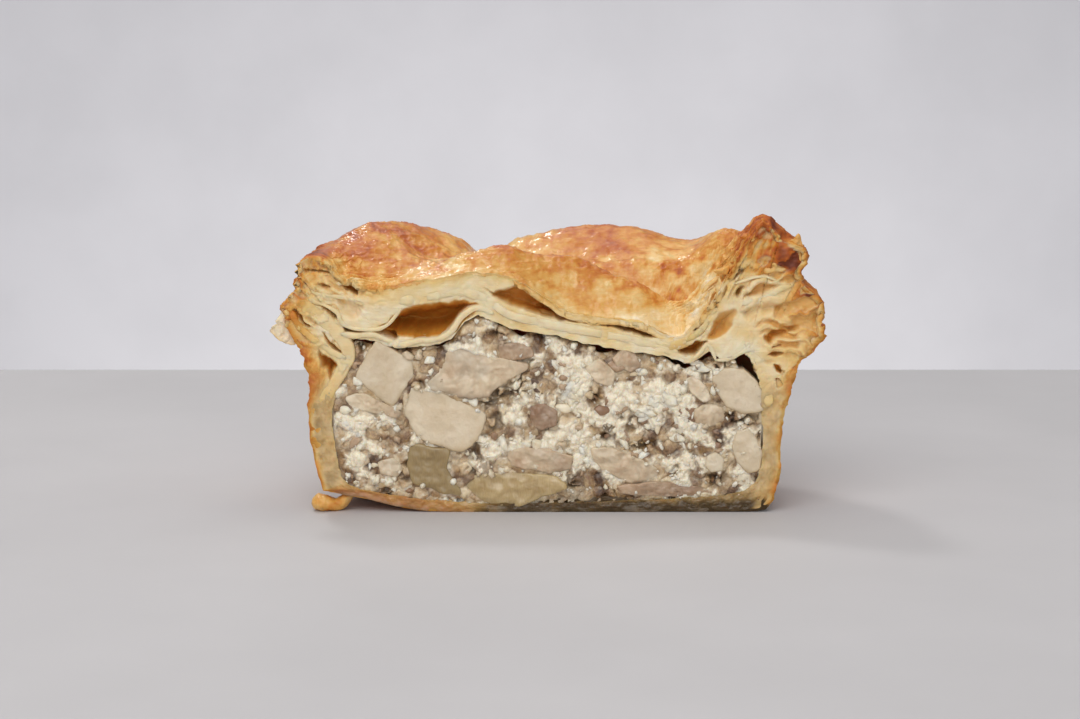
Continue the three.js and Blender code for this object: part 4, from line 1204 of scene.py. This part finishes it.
def leaf_fan(x, z):
    """Thin leaves in the cut's two corners, spread like a fan from a pivot by the filling to the rim: the
    angle about the pivot, bent by noise, counts the leaves. Each has an edge that stands forward and a
    gap beside it, open in some places. Gives how open the gap is, how far back the leaf stands, its own
    tint and how strongly leaves show."""
    place = np.stack([x, z], -1)
    side = np.sign(x)
    along, up = side * x - mix(33.5, 35.5, ease(x, -1, 1)), z - mix(37.5, 34.5, ease(x, -1, 1))
    reach = np.hypot(along, up)
    number = 5.2 * np.arctan2(up, along) + 0.09 * reach * side
    number = number + 0.75 * layered(place, 6, 101) + 0.3 * layered(place, 2.0, 102)
    spacing = np.maximum(reach, 4) / 5.2
    aside = spacing * np.abs(number - np.floor(number) - 0.5)
    gap = ease(aside, 0.2 + 0.12 * noise(place, 2.5, 103), 0.75)
    gap = gap * ease(layered(place * (1, 1.4), 4.5, 104), -0.2, 0.25)
    leaf_key = np.stack([np.floor(number) * 3.7, reach * 0.12 + 5 * side], -1)
    shows = ease(reach, 6, 10) * ease(along, -1, 4) * ease(up, -6, -2)
    fine = ridged(np.stack([number * 2.6, reach * 0.22], -1), 1.0, 107) - 0.45
    back = 0.6 * noise(leaf_key, 1.0, 105) - 0.45 * fine
    shows = shows * mix(0.7, 1.0, ease(x, -1, 1))
    return gap * shows, back * shows, noise(leaf_key, 1.0, 106) * shows, shows


def face_grid(sizes):
    """Places of all pastry in the cut, as spokes from the filling's line to the edge of case and crust:
    x and z of each, its share of the spoke's length, that length and the spoke's place along the ring."""
    up, over = np.linspace(0, 1, 220), np.linspace(0, 1, 240)
    left, right = np.full(len(up), HALF_TURN), np.zeros(len(up))
    sides = [
        case_surface(up, left, sizes), crust_surface(over, np.full(len(over), HALF_TURN), sizes)[0],
        crust_surface(over[::-1], np.zeros(len(over)), sizes)[0], case_surface(up[::-1], right, sizes),
    ]
    line = np.vstack(sides)[:, [0, 2]]
    run = np.concatenate([[0], np.cumsum(np.linalg.norm(np.diff(line, axis=0), axis=1))])
    inner_points, hints = (np.array(k, float) for k in zip(*SPOKES))
    marks = run[np.argmin(np.linalg.norm(line[None] - hints[:, None], axis=-1), axis=1)]
    marks[0], marks[-1] = 0, run[-1]
    strides = np.linalg.norm(np.diff(inner_points + 1.4 * hints, axis=0), axis=1)
    steps = np.concatenate([[0], np.cumsum(strides)])
    s = np.linspace(0, steps[-1], 961)[:-1]
    v = np.linspace(0, 1, 81)[:, None]
    mark = np.interp(s, steps, marks)
    outer = np.stack([np.interp(mark, run, line[:, k]) for k in (0, 1)], -1)
    inner = np.stack([np.interp(s, steps, inner_points[:, k]) for k in (0, 1)], -1)
    inner = inner + 0.25 * layered(np.stack([s, 0 * s], -1), 3.4, 65)[:, None]
    span = np.linalg.norm(outer - inner, axis=1)[None, :]
    return mix(inner[:, 0], outer[:, 0], v), mix(inner[:, 1], outer[:, 1], v), v, span, s[None, :]


def pastry_face(sizes):
    """All pastry in the cut, as one ring round the filling: each place is set back by the pockets, by the
    fan of leaves, by fine layers that run along the pastry and by crags at the rim, and upright strands
    stand forward at the upper right. It is browned near the outside and wet at the base, darkest at the
    very bottom as painted contact shade by the floor. It is browner where it sits back, in the gaps
    between leaves and in the fan at the right corner, and pockets and gaps take a golden-brown: all
    painted shade."""
    x, z, v, span, along = face_grid(sizes)
    place = np.stack([x, z], -1)
    depth, pocket_shade = pocket_relief(x, z)
    depth = depth * (1 - ease(v, 1 - 0.9 / span, 1.0))
    gap, back, tint, fanned = leaf_fan(x, z)
    from_out = (1 - v) * span
    flow = np.stack([along * 0.16 + 0 * v, v * span + 0.7 * layered(place, 3.5, 76)], -1)
    in_lid, at_side = ease(z, 22, 30), ease(np.abs(x + 3), 24, 36)
    near_rim = np.exp(-from_out / 4.5) * at_side * in_lid
    layers = 0.3 * mix(0.5, 1.2, near_rim) * (ridged(flow, 1.1, 66) - 0.5) * (1 - 0.6 * fanned)
    fine = mix(0.4, 0.2, ease(z, 46, 50)) * (ridged(place, 0.9, 68) - 0.4)
    crags = near_rim * (0.8 * layered(place, 1.8, 67) + fine)
    wavy = 0.35 * layered(place, 4.5, 69) + 0.35 * (1 - in_lid) * layered(place, 1.4, 81)
    plain = 0.1 + layers + crags + wavy + back + gap
    d = mix(plain, edge_depth(x, z), ease(v, 1 - 1.6 / span, 1.0)) + depth
    d = np.where(depth > 0.2, d + 0.25 * noise(place, 1.2, 70), d)
    high = ease(x, 30, 36) * ease(z + 1.2 * layered(place, 4, 74), 46.2, 50.5)
    lean = np.stack([0.94 * x - 0.34 * z + 0.5 * layered(place, 3, 85), 0.08 * x + 0.21 * z], -1)
    strands = high * (ridged(lean, 1.3, 83) - 0.45)
    front = np.stack([x, d - 1.3 * strands * ease(from_out, 0, 0.6), z], -1)

    reach = mix(mix(1.3, 4.6, ease(x, 27, 42)), 4.4, ease(-x, 27, 40))
    strength = mix(0.28, 0.46, at_side)
    patchy = ease(layered(place, 3.0, 82), -0.5, 0.4)
    reach, strength = mix(0.6 + 0.9 * patchy, reach, in_lid), mix(0.42, strength, in_lid)
    outer = np.maximum(np.exp(-((from_out / reach) ** 1.5)) * strength, 0.6 * high) + 0.45 * strands
    # The fan of leaves at the right corner is browner: painted shade.
    bake = 0.08 + 0.12 * (1 - in_lid) + 0.11 * fanned * ease(x, 0, 30) + outer
    bake = bake + 0.08 * layered(place, 2.4, 71) + 0.16 * np.clip(layered(place, 5, 75), 0, 1)
    bake = bake + np.maximum(near_rim, high) * (0.3 * (ridged(place, 1.6, 72) - 0.4) + 0.32 * tint)
    # Browner where the face sits back and in the gaps between leaves: painted shade.
    bake = bake + 0.09 * np.clip(plain, -1, 1) + 0.1 * gap
    base = (1 - ease(z, 3.5, 7)) * (1 - ease(np.abs(x), 41, 44))
    bake = bake + base * ease(-x, 10, 25) * 0.34
    # Wettest at the very bottom on the right: soaked pastry, and painted contact shade by the floor.
    soak_and_floor_shade = mix(0.5, mix(1.02, 0.76, ease(z, 1, 3.2)), ease(x, -22, -5))
    soaked = mix(0.5, soak_and_floor_shade, base) + mix(0.25, 0.1, base) * layered(place, 2.4, 73)
    wet = (1 - in_lid) * np.clip(soaked, 0, 1) * mix(ease(from_out, 0.2, 1.6), 1, base)
    shine = 0.15 + 0.75 * base
    # Golden-brown painted shade in the pockets and in the gaps between leaves.
    values = {"bake": bake, "deep": np.maximum(pocket_shade, 0.42 * gap), "wet": wet, "shine": shine}
    values = {key: value.T for key, value in values.items()}
    return [relief(front.transpose(1, 0, 2), step=5, axis=1, gap=1.0, loop=True, **values)]


def loose_leaves(sizes):
    """The thin flakes that stand off the pastry at both corners of the cut, and torn ends of leaves along
    its upper edge at the right: ragged ovals that lie along the edge, browner higher up."""
    rng = np.random.default_rng(11)
    wanted = [(np.array(outline), bake, 1.0, 110) for outline, bake in FLAKES.values()]
    for (x0, z0), (x1, z1), number in TORN_EDGES:
        for share in rng.uniform(0, 1, int(number * sizes.ends)):
            centre = mix(np.array((x0, z0)), np.array((x1, z1)), share) + rng.normal(0, 1.1, 2)
            long, wide = rng.uniform(1.4, 3.4), rng.uniform(0.5, 1.3)
            lean = np.arctan2(z1 - z0, x1 - x0) + rng.normal(0, 0.4)
            turn = np.linspace(0, 2 * HALF_TURN, 9, endpoint=False)
            reach = rng.uniform(0.45, 1.3, 9)
            u, w = long * reach * np.cos(turn), wide * reach * np.sin(turn)
            bake = 0.2 + 0.04 * max(centre[1] - 43, 0) * rng.uniform(0.4, 1.1)
            ring = centre + turned(u, w, lean)
            wanted.append((ring, min(bake, 0.66), rng.uniform(0.3, 1.6), 26))
    parts = []
    for k, (outline, bake, behind, around) in enumerate(wanted):
        points, faces, values = cut_piece(outline, 0.45, "flake", tone=0.5, seed=850 + k, around=around)
        values = {"bake": bake + 0.2 * values["rim"], "shine": 0.2 + 0 * values["rim"]}
        parts.append((points + (0, behind, 0), faces, values))
    return parts


# ---- filling shapes -------------------------------------------------------------------------
def cells(places, size, seed):
    """Irregular cells: each square of a lattice holds one centre at random. Gives the distance to the
    nearest centre, how much farther the next one is, and a number from 0 to 1 for the nearest."""
    base = np.floor(places / size)
    best = np.full(places.shape[:-1], 1e9)
    second, centre = best.copy(), np.zeros(places.shape)
    for step in np.ndindex(3, 3):
        corner = (base + np.array(step) - 1) * size
        shift = np.stack([noise(corner + 0.37, 0.71, seed + k) for k in (0, 1)], -1)
        spot = corner + size * (0.5 + 0.45 * shift)
        away = np.linalg.norm(places - spot, axis=-1)
        nearer = away < best
        second = np.where(nearer, best, np.minimum(second, away))
        best = np.where(nearer, away, best)
        centre = np.where(nearer[..., None], spot, centre)
    return best, second - best, 0.5 + 0.5 * noise(centre * 9.7, 1.0, seed + 2)


def filling_bounds(x):
    """The filling's lowest and highest line in the cut at x, just within the pastry's inner line."""
    inner = np.array([point for point, _ in SPOKES])
    base = np.vstack([inner[:BASE_SPOKES], inner[-BASE_SPOKES:]])
    base = base[np.argsort(base[:, 0])]
    low = np.interp(x, base[:, 0], base[:, 1]) - 0.6
    return low, underside(x) + np.interp(np.abs(x), [38, 43.6], [0, -12])


def piece_distance(x, z):
    """How far places in the cut lie inside a large piece, down to 3 mm outside all of them."""
    best = np.full(x.shape, -3.0)
    for outline, *_ in (*PIECES.values(), *BITS.values()):
        ring = spline(outline, np.linspace(0, 1, 36, endpoint=False), closed=True)
        low, high = ring.min(0) - 3, ring.max(0) + 3
        near = (x > low[0]) & (x < high[0]) & (z > low[1]) & (z < high[1])
        best[near] = np.maximum(best[near], inside_distance(x[near], z[near], ring))
    return best


def filling_relief(x, z):
    """The crumbly mass at places in the cut, broken into cells, each a lump with creases round it. Where
    layered noise passes a level set by the share of curd it is white and stands forward; the rest is
    mushroom of uneven tone. It rises to meet the large pieces, passes behind them and opens into a few
    hollows. Gives depth, whiteness, tone and painted shade: dark in the creases, along the edges of the
    white and in the hollows, which also lose their white."""
    place = np.stack([x, z], -1)
    warped = place + 0.6 * np.stack([layered(place, 2.2, 82), layered(place, 2.2, 83)], -1)
    share = white_share(x, z)
    rich = layered(warped, 3.0, 84, 4) + 1.2 * (share - 0.5)
    white = 0.45 * ease(rich, -0.3, 0.0) + 0.55 * ease(rich, -0.04, 0.1)
    tone = 0.6 + 0.75 * layered(warped, 2.6, 90, 4)
    bent = warped + 0.5 * np.stack([noise(warped, 1.3, 92), noise(warped, 1.3, 93)], -1)
    away, crease, key = cells(bent, 2.4, 95)
    lump = np.sqrt(np.clip(1 - (away / 2.4) ** 2, 0, 1)) * ease(crease, -0.8, 1.4)
    tone = mix(tone, key, 0.55)
    # Painted shade in the creases between lumps and in a thin line along the edge of the white.
    border_shade = np.exp(-(((rich + 0.02) / 0.05) ** 2))
    shade = mix(0.18, 0.15, white) * (1 - ease(crease, 0, 0.5)) + 0.16 * border_shade
    # The hollows sit deeper and are painted dark, losing their white: painted shade.
    hollow = 0.6 * ease(layered(place, 4.5, 88), 0.4, 0.8)
    for x0, z0, half_x, half_z in HOLLOWS:
        hollow = np.maximum(hollow, bell(x, z, x0, z0, half_x, half_z))
    hollow = hollow * ease(layered(place, 1.7, 89) + 0.5 * (1 - ease(crease, 0, 0.6)), -0.1, 0.25)
    inside = piece_distance(x, z)
    d = 0.95 - 0.55 * (lump - 0.5) - 0.3 * (key - 0.5) - 0.65 * ease(rich, -0.25, 0.55)
    d = mix(d, 0.45, 0.7 * np.exp(-((inside / 0.6) ** 2)))
    d = d - mix(0.16, 0.26, white) * layered(place, 1.1, 87, 4) + 1.7 * hollow
    d = np.maximum(d, 1.4 * ease(inside, 0.1, 0.9) - 0.3)
    return d, white * (1 - hollow), tone, np.clip(shade + 0.8 * hollow, 0, 1)


def filling_core():
    """The filling as one upright relief from the base to just under the lid, and a plain back."""
    x = np.linspace(-43.4, 44.2, 540)[:, None]
    v = np.linspace(0, 1, 178)[None, :]
    low, high = filling_bounds(x)
    line = np.concatenate([x, 0 * x], -1)
    high = high - 0.2 - 1.2 * ease(noise(line, 4, 81)[:, None], 0.1, 0.8)
    z = mix(low, high, v)
    d, white, tone, shade = filling_relief(x + 0 * z, z)
    d = d + 1.2 * np.exp(-(1 - v) * (high - low) / 0.8)
    front = np.stack([x + 0 * z, d, z], -1)
    return [relief(front, step=177, axis=1, gap=10, white=white, tone=tone, deep=shade)]


def white_share(x, z):
    """How much of the filling is white curd at a place: some all over, more in soft-edged zones."""
    share = mix(0.22, 0.34, ease(x + 0 * z, -10, 2))
    for x0, z0, half_x, half_z, weight in WHITE_ZONES:
        share = share + 0.5 * weight * bell(x, z, x0, z0, half_x, half_z)
    return np.clip(share, 0, 0.8)


def curd_chance(x, z):
    """How likely a place in the cut takes a white curd."""
    return 0.08 + white_share(x, z)


def crumb_chance(x, z):
    """How likely a place in the cut takes a crumb or slice of mushroom."""
    return 1 - 0.8 * white_share(x, z)


def ball():
    """Points and faces of a ball of eighty triangles: an icosahedron with each face split in four."""
    g = (1 + 5**0.5) / 2
    base = [(-1, g, 0), (1, g, 0), (-1, -g, 0), (1, -g, 0), (0, -1, g), (0, 1, g), (0, -1, -g), (0, 1, -g),
            (g, 0, -1), (g, 0, 1), (-g, 0, -1), (-g, 0, 1)]
    tri = [(0, 11, 5), (0, 5, 1), (0, 1, 7), (0, 7, 10), (0, 10, 11), (1, 5, 9), (5, 11, 4), (11, 10, 2),
           (10, 7, 6), (7, 1, 8), (3, 9, 4), (3, 4, 2), (3, 2, 6), (3, 6, 8), (3, 8, 9), (4, 9, 5),
           (2, 4, 11), (6, 2, 10), (8, 6, 7), (9, 8, 1)]
    p, f = np.array(base, float), np.array(tri)
    edges = np.sort(np.vstack([f[:, [0, 1]], f[:, [1, 2]], f[:, [2, 0]]]), axis=1)
    unique, where = np.unique(edges, axis=0, return_inverse=True)
    where = where.reshape(3, -1) + len(p)
    p = np.vstack([p, p[unique].mean(1)])
    ab, bc, ca = where
    quarters = (f[:, 0], ab, ca), (f[:, 1], bc, ab), (f[:, 2], ca, bc), (ab, bc, ca)
    f = np.vstack([np.stack(corners, -1) for corners in quarters])
    return p / np.linalg.norm(p, axis=1, keepdims=True), f


def inside_filling(x, z, margin):
    """Whether places in the cut lie in the filling, with a margin to the pastry."""
    wall = np.array(CASE_INNER)[:, 3:11]
    right = np.interp(z, wall[0, :, 1], wall[0, :, 0])
    left = np.interp(z, wall[1, :, 1], wall[1, :, 0])
    reach = np.where(x > 0, right, left) - np.interp(z, [24, 32.6], [0, 5.4])
    return (np.abs(x) + margin < reach) & (z - margin > 3.4) & (z + margin < underside(x) - 0.2)


def lumps(count, want, least, most, seed, angular, tone):
    """Crumbs on the cut face: balls whose points go in and out, stretched and turned at random, half
    sunk in the mass. want(x, z) is the chance that a place takes one; small ones also lie over the edges
    of the large pieces. What passes the knife's plane is pressed flat."""
    rng = np.random.default_rng(seed)
    tries = count * 14
    x, z = rng.uniform(-43.5, 44, tries), rng.uniform(3.4, 40, tries)
    size = most * (least / most) ** rng.random(tries)
    keep = inside_filling(x, z, size * 0.7) & (rng.random(tries) < want(x, z))
    inside = piece_distance(x, z)
    overlap = np.where(inside < 1.1, 0.8, 0.05)
    keep &= (inside < 0.2 * size) | ((size < 0.65) & (rng.random(tries) < overlap))
    x, z, size, inside = (a[keep][:count] for a in (x, z, size, inside))
    unit, faces = ball()
    n, m = len(x), len(unit)
    turns, _ = np.linalg.qr(rng.normal(size=(n, 3, 3)))
    stretch = rng.uniform(0.5, 1.2, (n, 1, 3))
    start = rng.uniform(0, 99, (n, 1, 3))
    wobble = 1 + angular * noise(unit[None] * 1.4 + start, 1.0, seed)
    wobble = wobble + 0.5 * angular * noise(unit[None] * 3 + start, 1.0)
    p = (unit[None] * stretch * wobble[..., None] * size[:, None, None]) @ turns
    d = np.where(inside > 0.1, 0.2, filling_relief(x, z)[0] + size * rng.uniform(0.0, 0.5, n))
    p += np.stack([x, np.maximum(d, 0.3), z], -1)[:, None]
    p[..., 1] = np.where(p[..., 1] < -0.1, -0.1 + 0.7 * np.tanh((p[..., 1] + 0.1) / 0.9), p[..., 1])
    faces = faces[None] + m * np.arange(n)[:, None, None]
    values = {"tone": np.repeat(np.clip(rng.normal(tone, 0.18, n), 0, 1), m)}
    return p.reshape(-1, 3), faces.reshape(-1, 3), values


def chunks(count, want, kind, most, seed, tone):
    """Curds or chopped mushroom: irregular bits a few millimetres long, as cut_piece makes them, leaning
    any way, half sunk in the mass. want(x, z) is the chance that a place takes one."""
    rng = np.random.default_rng(seed)
    tries = count * 30
    x, z = rng.uniform(-42, 42.5, tries), rng.uniform(4.5, 38, tries)
    long = most * rng.uniform(0.35, 1.0, tries) ** 1.3
    keep = inside_filling(x, z, 0.6 * long) & (piece_distance(x, z) < -0.2 * long)
    keep &= rng.random(tries) < want(x, z)
    x, z, long = x[keep][:count], z[keep][:count], long[keep][:count]
    parts = []
    for x0, z0, reach, level in zip(x, z, long, filling_relief(x, z)[0]):
        turn = np.linspace(0, 2 * HALF_TURN, 6, endpoint=False) + rng.uniform(-0.4, 0.4, 6)
        lean = rng.normal(0, 0.7)
        u = reach * np.cos(turn) * rng.uniform(0.65, 1.25, 6)
        w = reach * rng.uniform(0.4, 0.8) * np.sin(turn) * rng.uniform(0.65, 1.25, 6)
        outline = turned(u, w, lean) + (x0, z0)
        own_tone = rng.normal(tone, 0.17)
        points, faces, values = cut_piece(outline, 2.5, kind, own_tone, seed=rng.integers(9000), around=26)
        sunk = max(level + rng.uniform(-0.3, 0.1), -0.1)
        parts.append((points + (0, sunk, 0), faces, values))
    return parts


def cut_piece(outline, depth, kind, tone, seed, around=110):
    """A piece sliced by the knife: rings grow from the middle of the cut face to its rounded outline,
    run back along the side, tapering, and close behind. The face leans a little and has faint relief."""
    corners, wobble, grain, bow, round_off = SLICING[kind]
    turn = np.linspace(0, 1, around, endpoint=False)
    smooth = spline(outline, turn, closed=True)
    loop = np.vstack([outline, outline[:1]])
    run = np.concatenate([[0], np.cumsum(np.linalg.norm(np.diff(loop, axis=0), axis=1))])
    straight = np.stack([np.interp(turn * run[-1], run, loop[:, k]) for k in (0, 1)], -1)
    ring = mix(smooth, straight, corners)
    centre = ring.mean(0)
    reach = (ring - centre) * (1 + wobble * layered(ring, 1.6, seed))[:, None]
    size = np.linalg.norm(reach, axis=1).mean()
    rings = 16 if around > 50 else 5
    face = [(f, 0.0) for f in np.linspace(0.08, 1 - 1.6 * round_off / size, rings)]
    a = np.linspace(0.2, 1.57, 4)
    corner = zip(1 - round_off * (1 - np.sin(a)) / size, round_off * (1 - np.cos(a)))
    side = [(1.02, depth * 0.3), (0.95, depth * 0.8), (0.6, depth)]
    profile = np.array([*face, *corner, *side])
    xz = centre + reach[None] * profile[:, 0, None, None]
    on_face = 1 - ease(np.arange(len(profile)), rings + 1, rings + 5)[:, None]
    lean = np.random.default_rng(seed).normal(0, 0.045, 2)
    d = profile[:, 1:] + 0 * xz[..., 0] + (xz - centre) @ lean
    d = d + on_face * (grain * layered(xz, 2.2, seed + 1) - bow * (1 - profile[:, :1] ** 2)) + 0.25
    p = np.stack([xz[..., 0], d, xz[..., 1]], -1)
    rim = ease(profile[:, :1], 0.8, 1.0) + 0 * d
    # The rim value is strongest along a piece's lower side: potato and curd paint it as shade; mushroom and
    # shard pieces take it only along the lower edge.
    below = ease(-(xz[..., 1] - centre[1]) / size, 0.1, 0.9)
    values = {"rim": rim * (below if kind in ("mushroom", "shard") else mix(0.35, 1, below))}
    values["tone"] = np.clip(tone + 0.14 * layered(xz, 3, seed + 2), 0, 1)
    if kind == "onion":
        values["pale"] = ease(xz[..., 0], -19, -14)
    return closed_rings(p, **values)


# ---- what a user may change -----------------------------------------------------------------
class PieSizes(bpy.types.PropertyGroup):
    """Sizes and numbers of the pie's visible detail."""

    crust: bpy.props.FloatProperty(
        name="Crust", description="Thickness of the lid's baked skin", unit="LENGTH", precision=4,
        default=1.0 / MM_PER_M, min=0.4 / MM_PER_M, max=2.5 / MM_PER_M,
    )
    leaf: bpy.props.FloatProperty(
        name="Leaves", description="Factor on the thickness of each pastry leaf", subtype="FACTOR",
        default=1.0, min=0.4, max=2.0,
    )
    crags: bpy.props.FloatProperty(
        name="Crags", description="Height of the flaky crags on the outside", unit="LENGTH", precision=4,
        default=0.9 / MM_PER_M, min=0.0, max=2.5 / MM_PER_M,
    )
    ends: bpy.props.FloatProperty(
        name="Torn ends", description="Factor on the number of torn leaf ends", subtype="FACTOR",
        default=1.0, min=0.0, max=3.0,
    )
    curds: bpy.props.IntProperty(
        name="Curds", description="Number of cheese curds in the cut face",
        default=270, min=0, max=2400,
    )
    chunks: bpy.props.IntProperty(
        name="Large curds", description="Number of large curds in the cut face",
        default=70, min=0, max=400,
    )
    crumbs: bpy.props.IntProperty(
        name="Crumbs", description="Number of mushroom crumbs in the cut face",
        default=90, min=0, max=2400,
    )
    shards: bpy.props.IntProperty(
        name="Slices", description="Number of small mushroom slices in the cut face",
        default=26, min=0, max=200,
    )


class PieColours(bpy.types.PropertyGroup):
    """Colours of the stage."""

    floor: bpy.props.FloatVectorProperty(
        name="Floor", description="Colour of the floor, sRGB", subtype="COLOR_GAMMA", size=3,
        default=(0.757, 0.744, 0.742), min=0, max=1,
    )
    wall: bpy.props.FloatVectorProperty(
        name="Wall", description="Colour of the wall behind, sRGB", subtype="COLOR_GAMMA", size=3,
        default=(0.86, 0.85, 0.86), min=0, max=1,
    )


# ---- operators ------------------------------------------------------------------------------
class PIE_OT_case(bpy.types.Operator):
    """Builds the pastry case: its shell and the crisp foot; the lid's step builds its cut face"""

    bl_idname = "pie.case"
    bl_label = "Pastry case"

    def execute(self, context):
        sizes = context.scene.pie_sizes
        skin = pastry_material("case_pastry", glaze=0.15, mottle=0.2)
        make_piece("case_shell", case_shell(sizes), skin, ["pastry_case"])
        make_piece("case_foot", foot(), skin, ["pastry_case"])
        return {"FINISHED"}


class PIE_OT_lid(bpy.types.Operator):
    """Builds the lid: baked crust, leaves in its pocket, all pastry in the cut, flakes and torn ends"""

    bl_idname = "pie.lid"
    bl_label = "Pastry lid"

    def execute(self, context):
        sizes = context.scene.pie_sizes
        crust = pastry_material("lid_crust", glaze=0.75, soak=0.14, mottle=0.22)
        crumb = pastry_material("lid_crumb", soak=0.35, mottle=0.1)
        make_piece("lid_crust", lid_crust(sizes), crust, ["pastry_lid"])
        make_piece("lid_crust_strip", crust_strip(sizes), crust, ["pastry_lid"])
        make_piece("lid_leaves", lid_leaves(sizes), crumb, ["pastry_lid"])
        make_piece("pastry_face", pastry_face(sizes), crumb, ["pastry_lid", "pastry_case"])
        make_piece("lid_flakes", loose_leaves(sizes), crust, ["pastry_lid"])
        return {"FINISHED"}


class PIE_OT_filling(bpy.types.Operator):
    """Builds the crumbly filling: its mass, white curds and mushroom crumbs"""

    bl_idname = "pie.filling"
    bl_label = "Filling"

    def execute(self, context):
        sizes = context.scene.pie_sizes
        make_piece("filling_mass", filling_core(), filling_material(), ["filling"])
        curd, crumb = curd_material(), mushroom_material()
        white = [lumps(sizes.curds, curd_chance, least=0.3, most=0.9, seed=5, angular=0.6, tone=0.6)]
        white += chunks(sizes.chunks, curd_chance, "curd", most=2.3, seed=700, tone=0.62)
        brown = [lumps(sizes.crumbs, crumb_chance, least=0.3, most=1.0, seed=6, angular=0.8, tone=0.64)]
        brown += chunks(sizes.shards, crumb_chance, "shard", most=3.0, seed=900, tone=0.5)
        brown += [cut_piece(*bit, seed=800 + k) for k, bit in enumerate(BITS.values())]
        make_piece("curds", white, curd, ["filling"])
        make_piece("mushroom_crumbs", brown, crumb, ["filling"])
        return {"FINISHED"}


class PIE_OT_pieces(bpy.types.Operator):
    """Builds the large pieces of potato, onion and mushroom in the cut"""

    bl_idname = "pie.pieces"
    bl_label = "Large pieces"

    def execute(self, context):
        builders = {"potato": potato_material, "onion": onion_material, "mushroom": mushroom_material}
        finishes = {kind: build() for kind, build in builders.items()}
        for k, (name, (outline, depth, kind, tone)) in enumerate(PIECES.items()):
            part = cut_piece(outline, depth, kind, tone, seed=500 + k * 7)
            make_piece(name + "_cut", [part], finishes[kind], [name])
        return {"FINISHED"}


class PIE_OT_stage(bpy.types.Operator):
    """Sets the pale floor and wall, the soft lights and the camera"""

    bl_idname = "pie.stage"
    bl_label = "Stage"

    def execute(self, context):
        colours = context.scene.pie_colours
        self.plane(context, "floor", -STAGE_SIDE, FLOOR_END, 0, 0, colours.floor)
        self.plane(context, "wall", WALL_PLACE, WALL_PLACE, WALL_LOW, WALL_HIGH, colours.wall)
        target = np.array(AIM) / MM_PER_M
        for name, (place, size, power) in LIGHTS.items():
            self.light(context, name, place, target, size, power)
        self.light(context, "wall_light", *WALL_LIGHT)
        world = context.scene.world or bpy.data.worlds.new("studio")
        context.scene.world = world
        world.use_nodes = True
        background = world.node_tree.nodes["Background"]
        background.inputs["Color"].default_value = linear(*SKY)
        background.inputs["Strength"].default_value = SKY_STRENGTH
        tilt = np.radians(CAMERA_TILT)
        camera = bpy.data.cameras.new("camera")
        camera.lens, camera.sensor_width = CAMERA_LENS, 36
        camera.clip_start = 0.01
        holder = bpy.data.objects.new("camera", camera)
        context.scene.collection.objects.link(holder)
        holder.location = target + CAMERA_DISTANCE * np.array((0, -np.cos(tilt), np.sin(tilt)))
        holder.rotation_euler = (HALF_TURN / 2 - tilt, 0, 0)
        context.scene.camera = holder
        context.scene.view_settings.view_transform = "Standard"
        return {"FINISHED"}

    def plane(self, context, name, front, back, low, high, rgb):
        """A wide stage plane from its front edge to its back edge, each at its own height, in mm."""
        edges = [(-STAGE_SIDE, front, low), (STAGE_SIDE, front, low), (STAGE_SIDE, back, high)]
        corners = np.array([*edges, (-STAGE_SIDE, back, high)]) / MM_PER_M
        mesh = bpy.data.meshes.new(name)
        mesh.from_pydata(corners.tolist(), [], [(0, 1, 2, 3)])
        mesh.materials.append(stage_material(name, rgb))
        plane = bpy.data.objects.new(name, mesh)
        context.scene.collection.objects.link(plane)

    def light(self, context, name, place, target, size, power):
        """A square soft light that points at the target."""
        lamp = bpy.data.lights.new(name, "AREA")
        lamp.size, lamp.energy = size, power
        holder = bpy.data.objects.new(name, lamp)
        context.scene.collection.objects.link(holder)
        holder.location = place
        aim = np.array(target) - np.array(place)
        flat = np.hypot(aim[0], aim[1])
        holder.rotation_euler = (HALF_TURN / 2 + np.arctan2(aim[2], flat), 0, np.arctan2(-aim[0], aim[1]))


class PIE_PT_panel(bpy.types.Panel):
    """Lists the pie's sizes and the steps that build it"""

    bl_idname = "PIE_PT_panel"
    bl_label = "Mushroom pie"
    bl_space_type = "VIEW_3D"
    bl_region_type = "UI"
    bl_category = "Pie"

    def draw(self, context):
        for group in (context.scene.pie_sizes, context.scene.pie_colours):
            for key in type(group).__annotations__:
                self.layout.prop(group, key)
        for step in STEPS:
            self.layout.operator(step.bl_idname)


STEPS = (PIE_OT_case, PIE_OT_lid, PIE_OT_filling, PIE_OT_pieces, PIE_OT_stage)
CLASSES = (PieSizes, PieColours, *STEPS, PIE_PT_panel)


def register():
    for item in CLASSES:
        bpy.utils.register_class(item)
    bpy.types.Scene.pie_sizes = bpy.props.PointerProperty(type=PieSizes)
    bpy.types.Scene.pie_colours = bpy.props.PointerProperty(type=PieColours)


def unregister():
    del bpy.types.Scene.pie_colours
    del bpy.types.Scene.pie_sizes
    for item in reversed(CLASSES):
        bpy.utils.unregister_class(item)


def main():
    """Builds everything in order."""
    register()
    bpy.ops.pie.case()
    bpy.ops.pie.lid()
    bpy.ops.pie.filling()
    bpy.ops.pie.pieces()
    bpy.ops.pie.stage()


if __name__ == "__main__":
    main()
